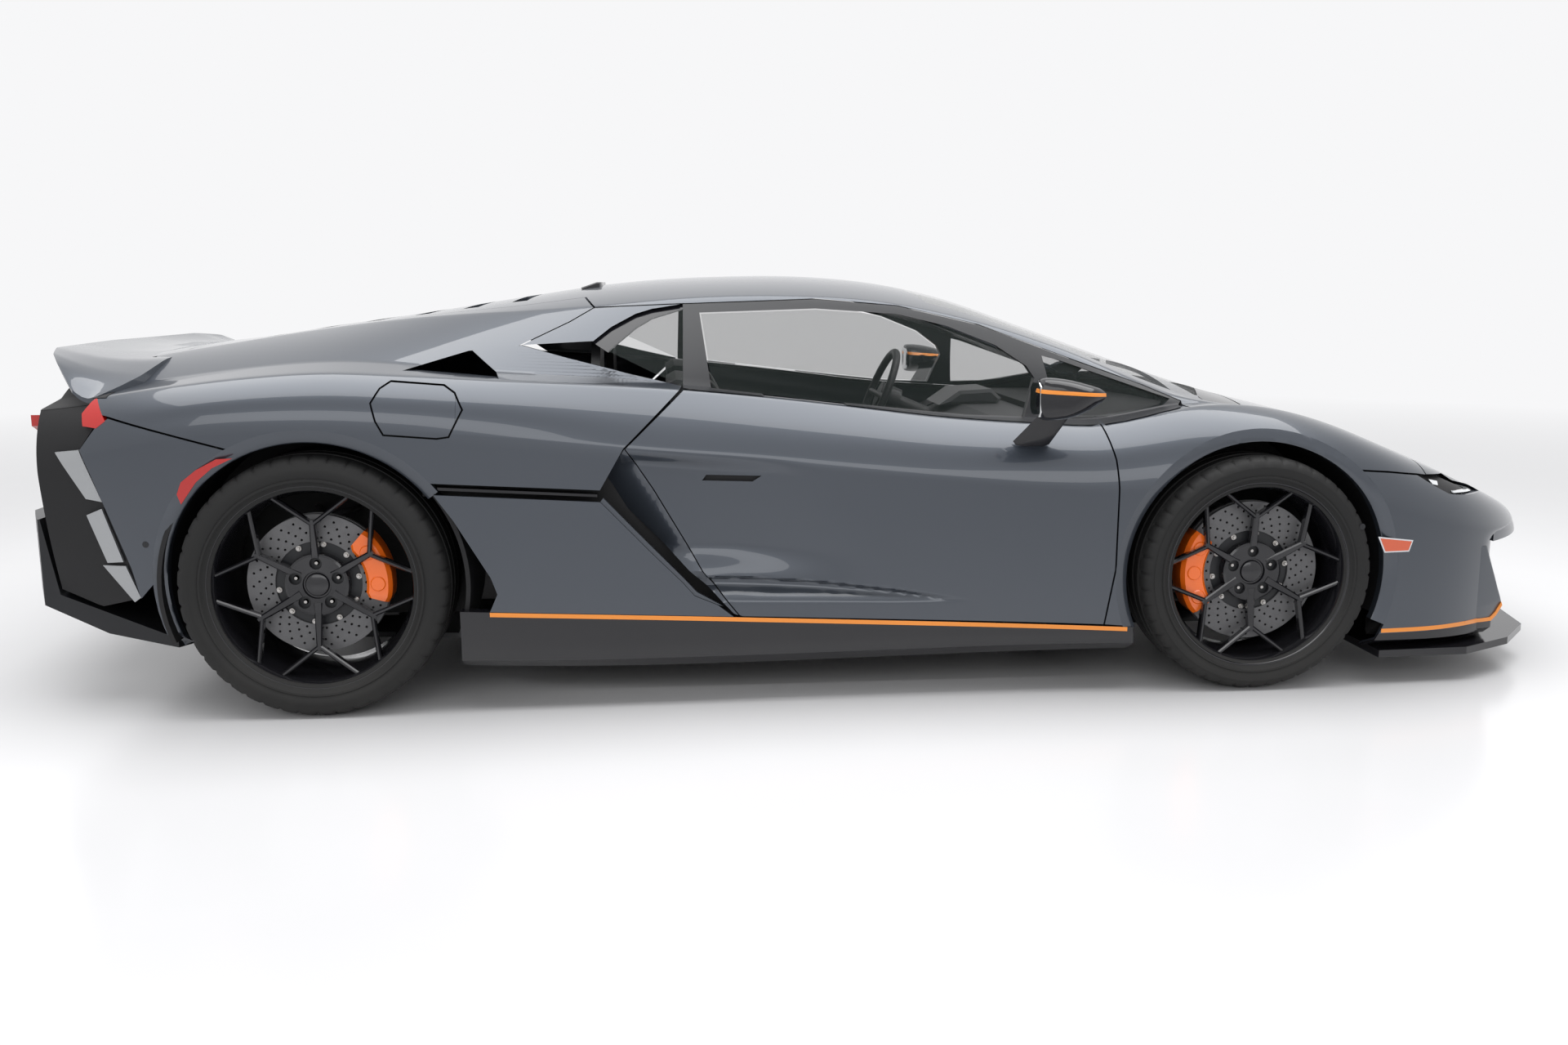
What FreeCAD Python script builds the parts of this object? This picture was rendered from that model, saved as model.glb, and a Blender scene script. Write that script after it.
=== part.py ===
"""Mid-engined supercar, built as separate panels and running gear.

Frame: +X towards the nose, +Y to the left, +Z up, origin on the ground
below the middle of the car. Millimetres throughout.
"""
import FreeCAD, Part
import math
import os
from FreeCAD import Placement, Rotation, Vector

doc = FreeCAD.newDocument("Supercar")
sheet = doc.addObject("Spreadsheet::Sheet", "Sizes")

# Driving dimensions, each with what it measures
SIZES = [
    ("body_length", 4706, "nose to tail"),
    ("body_width", 1996, "over the rear haunches"),
    ("body_height", 1201, "ground to roof"),
    ("wheelbase", 2658, "axle to axle"),
    ("nose_to_axle", 1085, "front overhang"),
    ("front_track", 1716, "between front wheel centres"),
    ("rear_track", 1664, "between rear wheel centres"),
    ("front_tyre_diameter", 686.5, "over the tread"),
    ("rear_tyre_diameter", 728.4, "over the tread"),
    ("front_tyre_width", 255, "section width"),
    ("rear_tyre_width", 325, "section width"),
    ("front_rim_diameter", 542, "over the rim flange"),
    ("rear_rim_diameter", 568, "over the rim flange"),
    ("rim_barrel_wall", 9, "metal of the rim barrel"),
    ("spoke_depth", 26, "spoke, front to back"),
    ("spoke_width", 17, "spoke, side to side"),
    ("stud_circle", 120, "pitch circle of the wheel studs"),
    ("stud_hole_radius", 7.5, "hole for a wheel stud"),
    ("hub_bore_radius", 32, "bore behind the centre cap"),
    ("front_disc_diameter", 410, "front brake disc"),
    ("rear_disc_diameter", 390, "rear brake disc"),
    ("disc_thickness", 34, "brake disc"),
    ("steer_offset", 20, "wheel centre to steering axis"),
    ("arch_gap", 34, "tyre tread to arch edge"),
    ("well_gap", 40, "tyre tread to wheel well"),
    ("panel_gap", 5, "between a moving panel and its frame"),
    ("lid_gap", 7, "between a lid and its frame"),
    ("seam_gap", 0.3, "between fixed panels"),
    ("wall", 45, "thickness of the body walls"),
    ("roof_wall", 32, "thickness of roof and pillars"),
    ("glass_thickness", 6, "panes"),
    ("door_inner_plane", 745, "centre plane to door trim"),
    ("door_flange", 34, "door skin past the door's inner box"),
    ("door_skin", 15, "thickness of the door's skin at its edge"),
    ("floor_height", 118, "ground to floor"),
    ("floor_thickness", 34, "tub floor"),
    ("tub_wall", 26, "tub bulkheads"),
    ("jack_pad_side", 80, "lifting pad under the floor, each way"),
    ("jack_pad_depth", 6, "lifting pad below the floor"),
]

for row, (alias, value, meaning) in enumerate(SIZES, start=1):
    sheet.set("A%d" % row, alias)
    sheet.set("B%d" % row, str(value))
    sheet.setAlias("B%d" % row, alias)
    sheet.set("C%d" % row, meaning)
doc.recompute()


def size(alias):
    return float(getattr(sheet, alias))


LENGTH_SCALE = size("body_length") / 4706.0
WIDTH_SCALE = size("body_width") / 1996.0
HEIGHT_SCALE = size("body_height") / 1201.0
NOSE = size("body_length") / 2
FRONT_AXLE = NOSE - size("nose_to_axle")
REAR_AXLE = FRONT_AXLE - size("wheelbase")
PANEL_GAP = size("panel_gap")
SEAM = size("seam_gap")
WALL = size("wall")
FAR = 3000.0
Y_AXIS = Vector(0, 1, 0)

# The body's long lines, each a plan view (x, y) and a side view (x, z)
LINES = {
    "floor": (
        [(-2120, 700), (-1850, 820), (-1000, 900), (900, 900), (1700, 890),
         (2000, 800), (2200, 660), (2353, 330)],
        [(-2120, 300), (-1850, 210), (-1500, 140), (-1000, 118), (900, 118),
         (1650, 108), (2353, 100)]),
    "sill": (
        [(-2120, 820), (-1850, 905), (-1390, 975), (-1000, 978), (-300, 962),
         (800, 957), (1000, 966), (1268, 972), (1650, 965), (1850, 935),
         (2000, 870), (2120, 785), (2220, 680), (2300, 540), (2353, 380)],
        [(-2120, 330), (-1850, 240), (-1500, 175), (-1000, 152), (900, 148),
         (1650, 138), (2353, 118)]),
    "flank": (
        [(-2120, 905), (-1900, 955), (-1650, 986), (-1390, 998), (-1100, 993),
         (-700, 972), (-300, 958), (200, 952), (700, 955), (1000, 972),
         (1268, 986), (1550, 980), (1780, 950), (1950, 893), (2080, 815),
         (2190, 715), (2280, 590), (2353, 420)],
        [(-2120, 640), (-1390, 640), (-600, 590), (200, 520), (800, 520),
         (1268, 560), (1800, 480), (2353, 380)]),
    "crest": (
        [(-2120, 840), (-1990, 868), (-1700, 900), (-1350, 905), (-900, 886),
         (-400, 852), (100, 836), (650, 840), (850, 852), (1063, 838),
         (1268, 816), (1500, 800), (1750, 775), (1950, 735), (2100, 668),
         (2230, 565), (2353, 385)],
        [(-2120, 860), (-1990, 875), (-1827, 898), (-1567, 930), (-1350, 942),
         (-1143, 933), (-867, 915), (-598, 898), (-377, 882), (-120, 856),
         (112, 828), (347, 798), (656, 774), (820, 766), (944, 786),
         (1063, 812), (1200, 824), (1350, 810), (1500, 772), (1687, 700),
         (1850, 632), (2000, 572), (2150, 510), (2353, 425)]),
    "shelf": (
        [(-2120, 700), (-1700, 742), (-1350, 762), (-900, 765), (-500, 772),
         (-300, 776), (200, 768), (650, 778), (900, 786), (1063, 770),
         (1268, 730), (1500, 708), (1750, 690), (1950, 652), (2100, 592),
         (2230, 495), (2353, 330)],
        [(-2120, 880), (-1990, 893), (-1700, 935), (-1350, 965), (-900, 932),
         (-500, 906), (-377, 893), (-120, 867), (112, 840), (347, 810),
         (656, 786), (820, 782), (944, 800), (1063, 818), (1200, 818),
         (1350, 798), (1500, 757), (1687, 690), (1850, 628), (2000, 571),
         (2150, 512), (2353, 428)]),
    "rail": (
        [(-2120, 520), (-1900, 500), (-1700, 470), (-1463, 450), (-1216, 460),
         (-1000, 490), (-832, 520), (-600, 560), (-342, 575), (-78, 580),
         (215, 590), (512, 620), (765, 664), (1024, 712), (1186, 700),
         (1350, 672), (1550, 642), (1750, 612), (1950, 574), (2100, 516),
         (2230, 425), (2353, 270)],
        [(-2120, 935), (-1900, 975), (-1700, 1008), (-1463, 1044),
         (-1216, 1074), (-1000, 1090), (-832, 1098), (-617, 1112),
         (-342, 1134), (-78, 1138), (215, 1120), (512, 1058), (765, 975),
         (1024, 868), (1186, 818), (1350, 795), (1550, 748), (1750, 682),
         (1950, 605), (2150, 522), (2353, 434)]),
    "top": (
        [(-2120, 0), (2353, 0)],
        [(-2120, 950), (-1952, 984), (-1709, 1012), (-1463, 1050),
         (-1216, 1084), (-867, 1138), (-620, 1174), (-463, 1189),
         (-209, 1200), (-55, 1201), (100, 1194), (255, 1178), (465, 1134),
         (706, 1050), (978, 952), (1254, 856), (1339, 828), (1450, 800),
         (1619, 758), (1790, 705), (1964, 642), (2110, 584), (2261, 510),
         (2353, 448)]),
}

# Where the body form's cross sections stand
STATIONS = [-2120, -1950, -1750, -1560, -1390, -1200, -1000, -820, -620, -400,
            -100, 200, 500, 760, 900, 1040, 1200, 1380, 1560, 1740, 1900,
            2050, 2180, 2280, 2353]


def curve_value(points, x):
    """Height of a smooth curve through (x, value) points."""
    if x <= points[0][0]:
        return points[0][1]
    if x >= points[-1][0]:
        return points[-1][1]
    last = len(points) - 1
    i = max(k for k in range(last) if points[k][0] <= x)

    def slope(k):
        a = points[max(k - 1, 0)]
        b = points[min(k + 1, last)]
        return (b[1] - a[1]) / (b[0] - a[0])

    (x0, v0), (x1, v1) = points[i], points[i + 1]
    step = x1 - x0
    t = (x - x0) / step
    return ((2 * t**3 - 3 * t**2 + 1) * v0 + (t**3 - 2 * t**2 + t) * step * slope(i)
            + (3 * t**2 - 2 * t**3) * v1 + (t**3 - t**2) * step * slope(i + 1))


def line_at(name, x):
    """Half width and height of one long line at a place along the car."""
    plan, side = LINES[name]
    place = x / LENGTH_SCALE
    return (curve_value(plan, place) * WIDTH_SCALE,
            curve_value(side, place) * HEIGHT_SCALE)


def section_points(x, inset):
    """Half section from floor to roof, moved inwards by the inset."""
    floor = line_at("floor", x)
    sill = line_at("sill", x)
    flank = line_at("flank", x)
    crest = line_at("crest", x)
    shelf = line_at("shelf", x)
    rail = line_at("rail", x)
    top = line_at("top", x)
    low_flank = (sill[0] + 0.62 * (flank[0] - sill[0]), (sill[1] + flank[1]) / 2)
    high_flank = (crest[0] + 0.74 * (flank[0] - crest[0]),
                  flank[1] + 0.62 * (crest[1] - flank[1]))
    bulge = 10 * WIDTH_SCALE
    pane = ((shelf[0] + rail[0]) / 2 + bulge, (shelf[1] + rail[1]) / 2 + bulge / 2)
    crown = (0.55 * rail[0], rail[1] + 0.76 * (top[1] - rail[1]))
    return {
        "floor": (floor[0] - inset, floor[1] + inset),
        "sill": (sill[0] - inset, sill[1] + inset * 0.8),
        "low_flank": (low_flank[0] - inset, low_flank[1]),
        "flank": (flank[0] - inset, flank[1]),
        "high_flank": (high_flank[0] - inset * 0.96, high_flank[1] - inset * 0.3),
        "crest": (crest[0] - inset * 0.85, crest[1] - inset),
        "shelf": (shelf[0] - inset * 0.9, shelf[1] - inset * 0.75),
        "pane": (pane[0] - inset * 0.85, pane[1] - inset * 0.6),
        "rail": (rail[0] - inset * 0.6, rail[1] - inset),
        "crown": (crown[0], crown[1] - inset),
        "top": (0.0, top[1] - inset),
    }


def smooth_edge(points):
    curve = Part.BSplineCurve()
    curve.interpolate(points)
    return curve.toShape()


def section_wire(x, inset):
    """Closed cross section of the body form at one station."""
    at = section_points(x, inset)

    def left(name):
        return Vector(x, at[name][0], at[name][1])

    def right(name):
        return Vector(x, -at[name][0], at[name][1])

    edges = [
        Part.makeLine(right("floor"), left("floor")),
        Part.makeLine(left("floor"), left("sill")),
        smooth_edge([left(n) for n in ("sill", "low_flank", "flank", "high_flank", "crest")]),
        Part.makeLine(left("crest"), left("shelf")),
        smooth_edge([left("shelf"), left("pane"), left("rail")]),
        smooth_edge([left("rail"), left("crown"), left("top"), right("crown"), right("rail")]),
        smooth_edge([right("rail"), right("pane"), right("shelf")]),
        Part.makeLine(right("shelf"), right("crest")),
        smooth_edge([right(n) for n in ("crest", "high_flank", "flank", "low_flank", "sill")]),
        Part.makeLine(right("sill"), right("floor")),
    ]
    return Part.Wire(edges)


def body_form(inset, first=-2120, last=2353):
    """The whole body's outer form, or that form moved inwards."""
    wires = [section_wire(x * LENGTH_SCALE, inset)
             for x in STATIONS if first <= x <= last]
    return Part.makeLoft(wires, True, False)


def shrink(outline, gap):
    """An outline with every edge moved inwards by the gap."""
    count = len(outline)
    area = sum(outline[k - 1][0] * outline[k][1] - outline[k][0] * outline[k - 1][1]
               for k in range(count))
    turn = 1 if area > 0 else -1
    moved = []
    for k in range(count):
        before, here, after = outline[k - 1], outline[k], outline[(k + 1) % count]
        normals = []
        for a, b in ((before, here), (here, after)):
            run = math.hypot(b[0] - a[0], b[1] - a[1])
            normals.append((-turn * (b[1] - a[1]) / run, turn * (b[0] - a[0]) / run))
        (n0, m0), (n1, m1) = normals
        reach = gap / (1 + n0 * n1 + m0 * m1)
        moved.append((here[0] + reach * (n0 + n1), here[1] + reach * (m0 + m1)))
    return moved


def side_prism(points, low=-FAR, high=FAR):
    """A side-view outline (x, z) carried across the car."""
    corners = [Vector(x, low, z) for x, z in points]
    face = Part.Face(Part.makePolygon(corners + corners[:1]))
    return face.extrude(Vector(0, high - low, 0))


def plan_prism(points, low=-FAR, high=FAR):
    """A plan-view outline (x, y) carried upwards."""
    corners = [Vector(x, y, low) for x, y in points]
    face = Part.Face(Part.makePolygon(corners + corners[:1]))
    return face.extrude(Vector(0, 0, high - low))


def front_prism(points, low=-FAR, high=FAR):
    """A front-view outline (y, z) carried along the car."""
    corners = [Vector(low, y, z) for y, z in points]
    face = Part.Face(Part.makePolygon(corners + corners[:1]))
    return face.extrude(Vector(high - low, 0, 0))


def block(x0, x1, y0, y1, z0, z1):
    return Part.makeBox(x1 - x0, y1 - y0, z1 - z0, Vector(x0, y0, z0))


def barrel(radius, x, z, y0, y1):
    """A round bar across the car."""
    return Part.makeCylinder(radius, y1 - y0, Vector(x, y0, z), Y_AXIS)


def mirrored(shape):
    return shape.mirror(Vector(0, 0, 0), Y_AXIS)


def both_sides(shape):
    return Part.makeCompound([shape, mirrored(shape)])


def add_piece(name, shape, place=Vector(0, 0, 0)):
    """A piece whose shape is worked out above from the sheet's sizes."""
    piece = doc.addObject("Part::Feature", name)
    piece.Label = name
    piece.Shape = shape
    piece.Placement = Placement(place, Rotation()).multiply(shape.Placement)
    PIECES[name] = piece
    return piece


def largest(shape):
    return max(shape.Solids, key=lambda solid: solid.Volume)


PIECES = {}

# The body form, its lining and the halves that panels are cut from
OUTER = body_form(0)
LINING = body_form(WALL)
ROOF_LINING = body_form(size("roof_wall"))
GLASS_LINING = body_form(size("glass_thickness"))
TRIM_FORM = body_form(4)
BODY_SHELL = OUTER.cut(LINING)
LEFT = block(-FAR, FAR, 0, FAR, -FAR, FAR)
LEFT_SHELL = BODY_SHELL.common(LEFT)

# Wheel wells and arch openings
FRONT_TYRE_RADIUS = size("front_tyre_diameter") / 2
REAR_TYRE_RADIUS = size("rear_tyre_diameter") / 2
FRONT_WELL_RADIUS = FRONT_TYRE_RADIUS + size("well_gap")
REAR_WELL_RADIUS = REAR_TYRE_RADIUS + size("arch_gap")
FRONT_WELL_INNER = 500 * WIDTH_SCALE
REAR_WELL_INNER = size("rear_track") / 2 - size("rear_tyre_width") / 2 - 45


def wheel_well(axle, radius, height, inner):
    """Round space for a wheel, open below."""
    ring = barrel(radius, axle, height, inner, FAR)
    below = block(axle - radius, axle + radius, inner, FAR, -FAR, height)
    return ring.fuse(below)


FRONT_WELL = wheel_well(FRONT_AXLE, FRONT_WELL_RADIUS, FRONT_TYRE_RADIUS, FRONT_WELL_INNER)
REAR_WELL = wheel_well(REAR_AXLE, REAR_WELL_RADIUS, REAR_TYRE_RADIUS, REAR_WELL_INNER)

# Side-view lines of the body side
STRIPE = [(-1010, 292), (920, 200)]


def stripe_height(x):
    (x0, z0), (x1, z1) = STRIPE
    return z0 + (z1 - z0) * (x - x0) / (x1 - x0)


def belt(x, lift=0.0):
    return line_at("shelf", x)[1] + lift


BELT_STATIONS = [600, 400, 200, 0, -200]


DOOR_OUTLINE = ([(-378, belt(-378)), (-532, 737), (-231, stripe_height(-231)),
                 (809, stripe_height(809)), (834, 606), (782, belt(782))]
                + [(x, belt(x)) for x in BELT_STATIONS])


ROOF_STATIONS = [-700, -624, -500, -378, -200, 0, 200, 400, 600, 782, 900, 1063, 1200, 1350]
ABOVE_BELT = side_prism([(x, belt(x, SEAM)) for x in ROOF_STATIONS] + [(1350, 1400), (-700, 1400)])


HINGE_FACE = 850
HINGE_HEIGHTS = (300, 560)


def make_door():
    """Door skin with a smaller inner box, one solid."""
    core = body_form(size("door_skin"))
    skin = OUTER.cut(core).common(side_prism(shrink(DOOR_OUTLINE, PANEL_GAP + 0.5)))
    flange = PANEL_GAP + size("door_flange")
    inner = core.common(side_prism(shrink(DOOR_OUTLINE, flange)))
    inner = inner.common(block(-FAR, FAR, size("door_inner_plane"), FAR, -FAR, FAR))
    window_slot = block(-FAR, FAR, -FAR, size("door_inner_plane"), -FAR, FAR)
    door = skin.cut(window_slot).fuse(inner)
    handle = block(-330, -165, 930, 1000, 636, 652)
    for z in HINGE_HEIGHTS:
        leaf = block(740, HINGE_FACE - SEAM, 878, 898, z, z + 50)
        door = door.fuse(leaf)
    return largest(door.removeSplitter().cut(handle))


DOOR = make_door()
add_piece("door_left", DOOR)
add_piece("door_right", mirrored(DOOR))

# Sills
SILL_REGION = side_prism([(-985, 100), (-1010, stripe_height(-1010) - SEAM),
                          (900, stripe_height(900) - SEAM), (885, 100)])


def make_sill():
    sill = OUTER.common(SILL_REGION)
    sill = sill.common(block(-FAR, FAR, 765, FAR, -FAR, FAR))
    return largest(sill.cut(REAR_WELL).cut(FRONT_WELL))


add_piece("sills", both_sides(make_sill()))

# Door mirrors, on stalks from the door skin


def mirror_section(y, rear, front, low, high):
    """Teardrop section of the mirror housing."""
    middle = (low + high) / 2
    points = [Vector(rear, y, high - 8), Vector(rear + 45, y, high),
              Vector((rear + front) / 2, y, high - 14), Vector(front, y, middle + 12),
              Vector((rear + front) / 2, y, low + 10), Vector(rear + 40, y, low),
              Vector(rear, y, low + 10)]
    return Part.makePolygon(points + points[:1])


def make_mirror():
    housing = Part.makeLoft([mirror_section(980, 590, 735, 828, 900),
                             mirror_section(1030, 575, 795, 806, 924),
                             mirror_section(1085, 572, 790, 804, 926),
                             mirror_section(1122, 585, 720, 822, 908)], True, True)
    foot = [Vector(545, 905, 738), Vector(640, 905, 738), Vector(665, 905, 712), Vector(560, 905, 712)]
    knee = [Vector(625, 985, 845), Vector(705, 985, 845), Vector(715, 985, 830), Vector(635, 985, 830)]
    stalk = Part.makeLoft([Part.makePolygon(foot + foot[:1]), Part.makePolygon(knee + knee[:1])],
                          True, True)
    return largest(housing.fuse(stalk).cut(DOOR))


MIRROR = make_mirror()
add_piece("mirror_left", MIRROR)
add_piece("mirror_right", mirrored(MIRROR))

# Front lid and the parts round it
LID_HALF = ([(1390, 0), (1375, 350), (1330, 662), (1420, line_at("rail", 1420)[0])]
            + [(x, line_at("rail", x)[0]) for x in (1550, 1750, 1950, 2080)]
            + [(2150, 300), (2175, 0)])
LID_OUTLINE = LID_HALF + [(x, -y) for x, y in reversed(LID_HALF[1:-1])]
LID_GAP = size("lid_gap")
LID_SKIN = OUTER.cut(body_form(6))
LID_SHELL = OUTER.cut(body_form(28))
ABOVE_BUMPER = block(1200, NOSE, -FAR, FAR, 460, FAR)


def make_lid(outline, low):
    """Thin skin out to the shut line, on a deeper and smaller inner frame."""
    skin = LID_SKIN.common(plan_prism(shrink(outline, LID_GAP), low))
    frame = LID_SHELL.common(plan_prism(shrink(outline, LID_GAP + 18), low))
    return largest(skin.fuse(frame).removeSplitter())


add_piece("front_lid", make_lid(LID_OUTLINE, 460))

# Windscreen, roof and pillars
WINDSCREEN = [(345, 0), (350, 300), (375, 500), (560, 548), (800, 596), (1010, 645),
              (1120, 660), (1200, 610), (1290, 350), (1330, 0)]


def windscreen_outline(inset):
    half = []
    for x, y in WINDSCREEN:
        shift = inset if x < 500 else (-inset if x > 1100 else 0)
        half.append((x + shift, max(y - (inset if y > 0 else 0), 0)))
    return half + [(x, -y) for x, y in reversed(half[1:-1])]


SIDE_WINDOW = [(-318, 860), (-312, 1098), (-80, 1101), (209, 1083), (505, 1018),
               (640, 975), (640, 770)]
FRONT_PANE = [(668, 770), (668, 966), (850, 898), (985, 838), (1020, 790)]
REAR_PANE = [(-585, 1000), (-500, 1078), (-392, 1092), (-398, 905)]
ROOF_REAR = -622


def make_roof_frame():
    frame = OUTER.cut(ROOF_LINING).common(ABOVE_BELT)
    frame = frame.common(block(ROOF_REAR, 1200, -FAR, FAR, 0, FAR))
    frame = frame.cut(plan_prism(windscreen_outline(0), 600))
    for outline in (SIDE_WINDOW, FRONT_PANE, REAR_PANE):
        frame = frame.cut(side_prism(outline))
    return largest(frame)


add_piece("roof_frame", make_roof_frame())
GLASS_SHELL = OUTER.cut(GLASS_LINING)
add_piece("windscreen", largest(GLASS_SHELL.common(plan_prism(windscreen_outline(SEAM), 600))))


def make_panes():
    panes = []
    for outline in (FRONT_PANE, REAR_PANE):
        pane = GLASS_SHELL.common(side_prism(shrink(outline, SEAM), 300))
        pane = pane.common(ABOVE_BELT)
        panes.append(largest(pane))
    return Part.makeCompound(panes + [mirrored(p) for p in panes])


add_piece("quarter_panes", make_panes())

# Cowl below the windscreen
def make_cowl():
    """Dark panel between windscreen and front lid."""
    side = 664 - SEAM
    half = [(1331, 0), (1291, 350), (1201, 610), (1201, side), (1330, side), (1370, 350), (1385, 0)]
    outline = half + [(x, -y) for x, y in reversed(half[1:-1])]
    return largest(LID_SHELL.common(plan_prism(outline, 600)))


add_piece("cowl", make_cowl())

# Front wings
HEAD_LAMP = [(1880, 598), (2040, 562), (2105, 528), (1950, 540)]
LAMP_INNER = 530


def make_wing():
    region = side_prism([(809, stripe_height(809)), (834, 606), (782, belt(782)), (900, belt(900)),
                         (1063, belt(1063)), (1200, belt(1200)), (1203, 900), (1800, 900),
                         (1780, 634), (1736, 634 + SEAM), (1602, 642 + SEAM), (1560, 560),
                         (1000, stripe_height(1000)), (905, stripe_height(905))])
    wing = LEFT_SHELL.common(region)
    wing = wing.cut(FRONT_WELL)
    wing = wing.cut(plan_prism(LID_OUTLINE))
    wing = wing.cut(plan_prism([(1196, 0), (1196, 664), (1400, 664), (1400, 0)]))
    hinge_space = block(780, 905, 0, 940, 190, 790)
    return largest(wing.cut(hinge_space))


WING = make_wing()
add_piece("front_wing_left", WING)
add_piece("front_wing_right", mirrored(WING))

# Splitter outline in plan, which the bumper stands on
SPLITTER = [(2353, 0), (2335, 420), (2262, 690), (2120, 845), (1930, 945), (1640, 960),
            (1640, 470), (1040, 470), (1040, 0)]
SPLITTER_LOW = 84
SPLITTER_TOP = 106


# Front bumper with its intakes
INTAKE = [(380, 190), (480, 420), (800, 380), (830, 190)]


def make_front_bumper():
    base = SPLITTER_TOP + SEAM
    region = side_prism([(1560, base), (1560, 560), (1602, 642), (1736, 633), (1800, 634),
                         (1800, 900), (2600, 900), (2600, base)])
    bumper = BODY_SHELL.common(region)
    for side in (FRONT_WELL, mirrored(FRONT_WELL)):
        bumper = bumper.cut(side)
    bumper = bumper.cut(plan_prism(LID_OUTLINE).common(ABOVE_BUMPER))
    bumper = bumper.cut(side_prism([(2285, 0), (2285, 320), (2330, 360), (2600, 360), (2600, 0)]))
    for sign in (1, -1):
        mouth = front_prism([(sign * y, z) for y, z in INTAKE], 1850, 2600)
        bumper = bumper.cut(mouth)
    bumper = bumper.cut(side_prism(HEAD_LAMP, LAMP_INNER))
    bumper = bumper.cut(side_prism(HEAD_LAMP, -FAR, -LAMP_INNER))
    return largest(bumper)


add_piece("front_bumper", make_front_bumper())

# Splitter under the nose
def make_splitter():
    half = SPLITTER
    outline = half + [(x, -y) for x, y in reversed(half[1:-1])]
    blade = plan_prism(outline, SPLITTER_LOW, SPLITTER_TOP)
    blade = blade.fuse(block(1040, 1559, -470, 470, SPLITTER_TOP, size("floor_height") - SEAM))
    for side in (FRONT_WELL, mirrored(FRONT_WELL)):
        blade = blade.cut(side)
    return largest(blade)


add_piece("front_splitter", make_splitter())

# Rear quarters
INTAKE_SIDE = [(-609, 625), (-535, 735), (-231, 250), (-300, 292), (-356, 307), (-600, 600)]
FLAP = [(-1218, 856), (-1163, 919), (-1013, 908), (-974, 840), (-1025, 767), (-1176, 779)]
ENGINE_LID_FRONT = -625
ENGINE_LID_REAR = -1845
BUMPER_SEAM = [(-1535, 735), (-1990, 858)]


ENGINE_LID_HALF = [(ENGINE_LID_FRONT, 0), (ENGINE_LID_FRONT, 430), (-900, 430), (-1250, 400), (-1600, 400),
                   (ENGINE_LID_REAR, 440), (ENGINE_LID_REAR, 0)]
ENGINE_LID_OUTLINE = ENGINE_LID_HALF + [(x, -y) for x, y in reversed(ENGINE_LID_HALF[1:-1])]


def make_quarter():
    region = side_prism([(-378, 893), (-532, 737), (-231, stripe_height(-231)),
                         (-1010, stripe_height(-1010)), (-1500, 400), (-1500, BUMPER_SEAM[0][1])] + BUMPER_SEAM
                        + [(-2200, BUMPER_SEAM[1][1]), (-2200, 1400), (-624, 1400),
                         (-624, belt(-624)), (-500, belt(-500)), (-378, belt(-378))])
    quarter = LEFT_SHELL.common(region)
    quarter = quarter.cut(REAR_WELL)
    quarter = quarter.cut(plan_prism(ENGINE_LID_OUTLINE))
    quarter = quarter.cut(block(-2200, -1850, -FAR, FAR, 930, FAR))
    quarter = quarter.cut(side_prism(INTAKE_SIDE, 840))
    quarter = quarter.cut(side_prism([(-1078, 628), (-1078, 650), (-600, 615), (-600, 592)], 940))
    return largest(quarter)


QUARTER = make_quarter()
FLAP_SKIN = 8
FLAP_POCKET = 30
POCKET_FORM = body_form(FLAP_POCKET)
FLAP_REGION = side_prism(FLAP, -FAR, -800)
add_piece("rear_quarter_left", QUARTER)
add_piece("rear_quarter_right", largest(mirrored(QUARTER).cut(FLAP_REGION.cut(POCKET_FORM))))


def make_fuel_flap():
    """Flap skin with the latch pin that meets the pocket's floor."""
    flap = OUTER.cut(body_form(FLAP_SKIN)).common(side_prism(shrink(FLAP, PANEL_GAP), -FAR, -800))
    pin = barrel(9, -1180, 850, -1000, -850)
    pin = pin.common(body_form(FLAP_SKIN / 2)).cut(body_form(FLAP_POCKET - SEAM))
    return largest(flap.fuse(pin))


add_piece("fuel_flap", make_fuel_flap())

# Engine lid
BULKHEAD = -640


def make_engine_lid():
    """Lid skin with two hinge arms that hang behind the bulkhead."""
    lid = make_lid(ENGINE_LID_OUTLINE, 600)
    for middle in (315, -315):
        arm = block(BULKHEAD - 34, BULKHEAD - SEAM, middle - 15, middle + 15, 1050, 1190)
        lid = lid.fuse(arm.common(TRIM_FORM))
    return largest(lid)


add_piece("engine_lid", make_engine_lid())

# Tail: bumper, fascia, wing and diffuser
TAIL_FACE = -2120


def make_tail_panel():
    """Dark panel that closes the tail between the lamps."""
    panel = LINING.common(block(TAIL_FACE + SEAM, TAIL_FACE + 35, -FAR, FAR, 330, 850))
    return largest(panel)


add_piece("tail_panel", make_tail_panel())


def make_tail_wing():
    """Upswept lip across the tail."""
    def section(y, root, tip, base, lift):
        points = [Vector(root, y, base), Vector((root + tip) / 2, y, base + 18),
                  Vector(tip, y, lift), Vector(tip + 6, y, lift - 16),
                  Vector((root + tip) / 2, y, base - 30), Vector(root, y, base - 46)]
        return Part.makePolygon(points + points[:1])

    stations = [(-850, -1900, -2045, 890, 975), (-600, -1860, -2150, 945, 990),
                (-300, -1856, -2210, 985, 998), (0, -1856, -2230, 985, 1000),
                (300, -1856, -2210, 985, 998), (600, -1860, -2150, 945, 990),
                (850, -1900, -2045, 890, 975)]
    return Part.makeLoft([section(*s) for s in stations], True, True)


add_piece("tail_wing", make_tail_wing().cut(OUTER).Solids[0])


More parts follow.
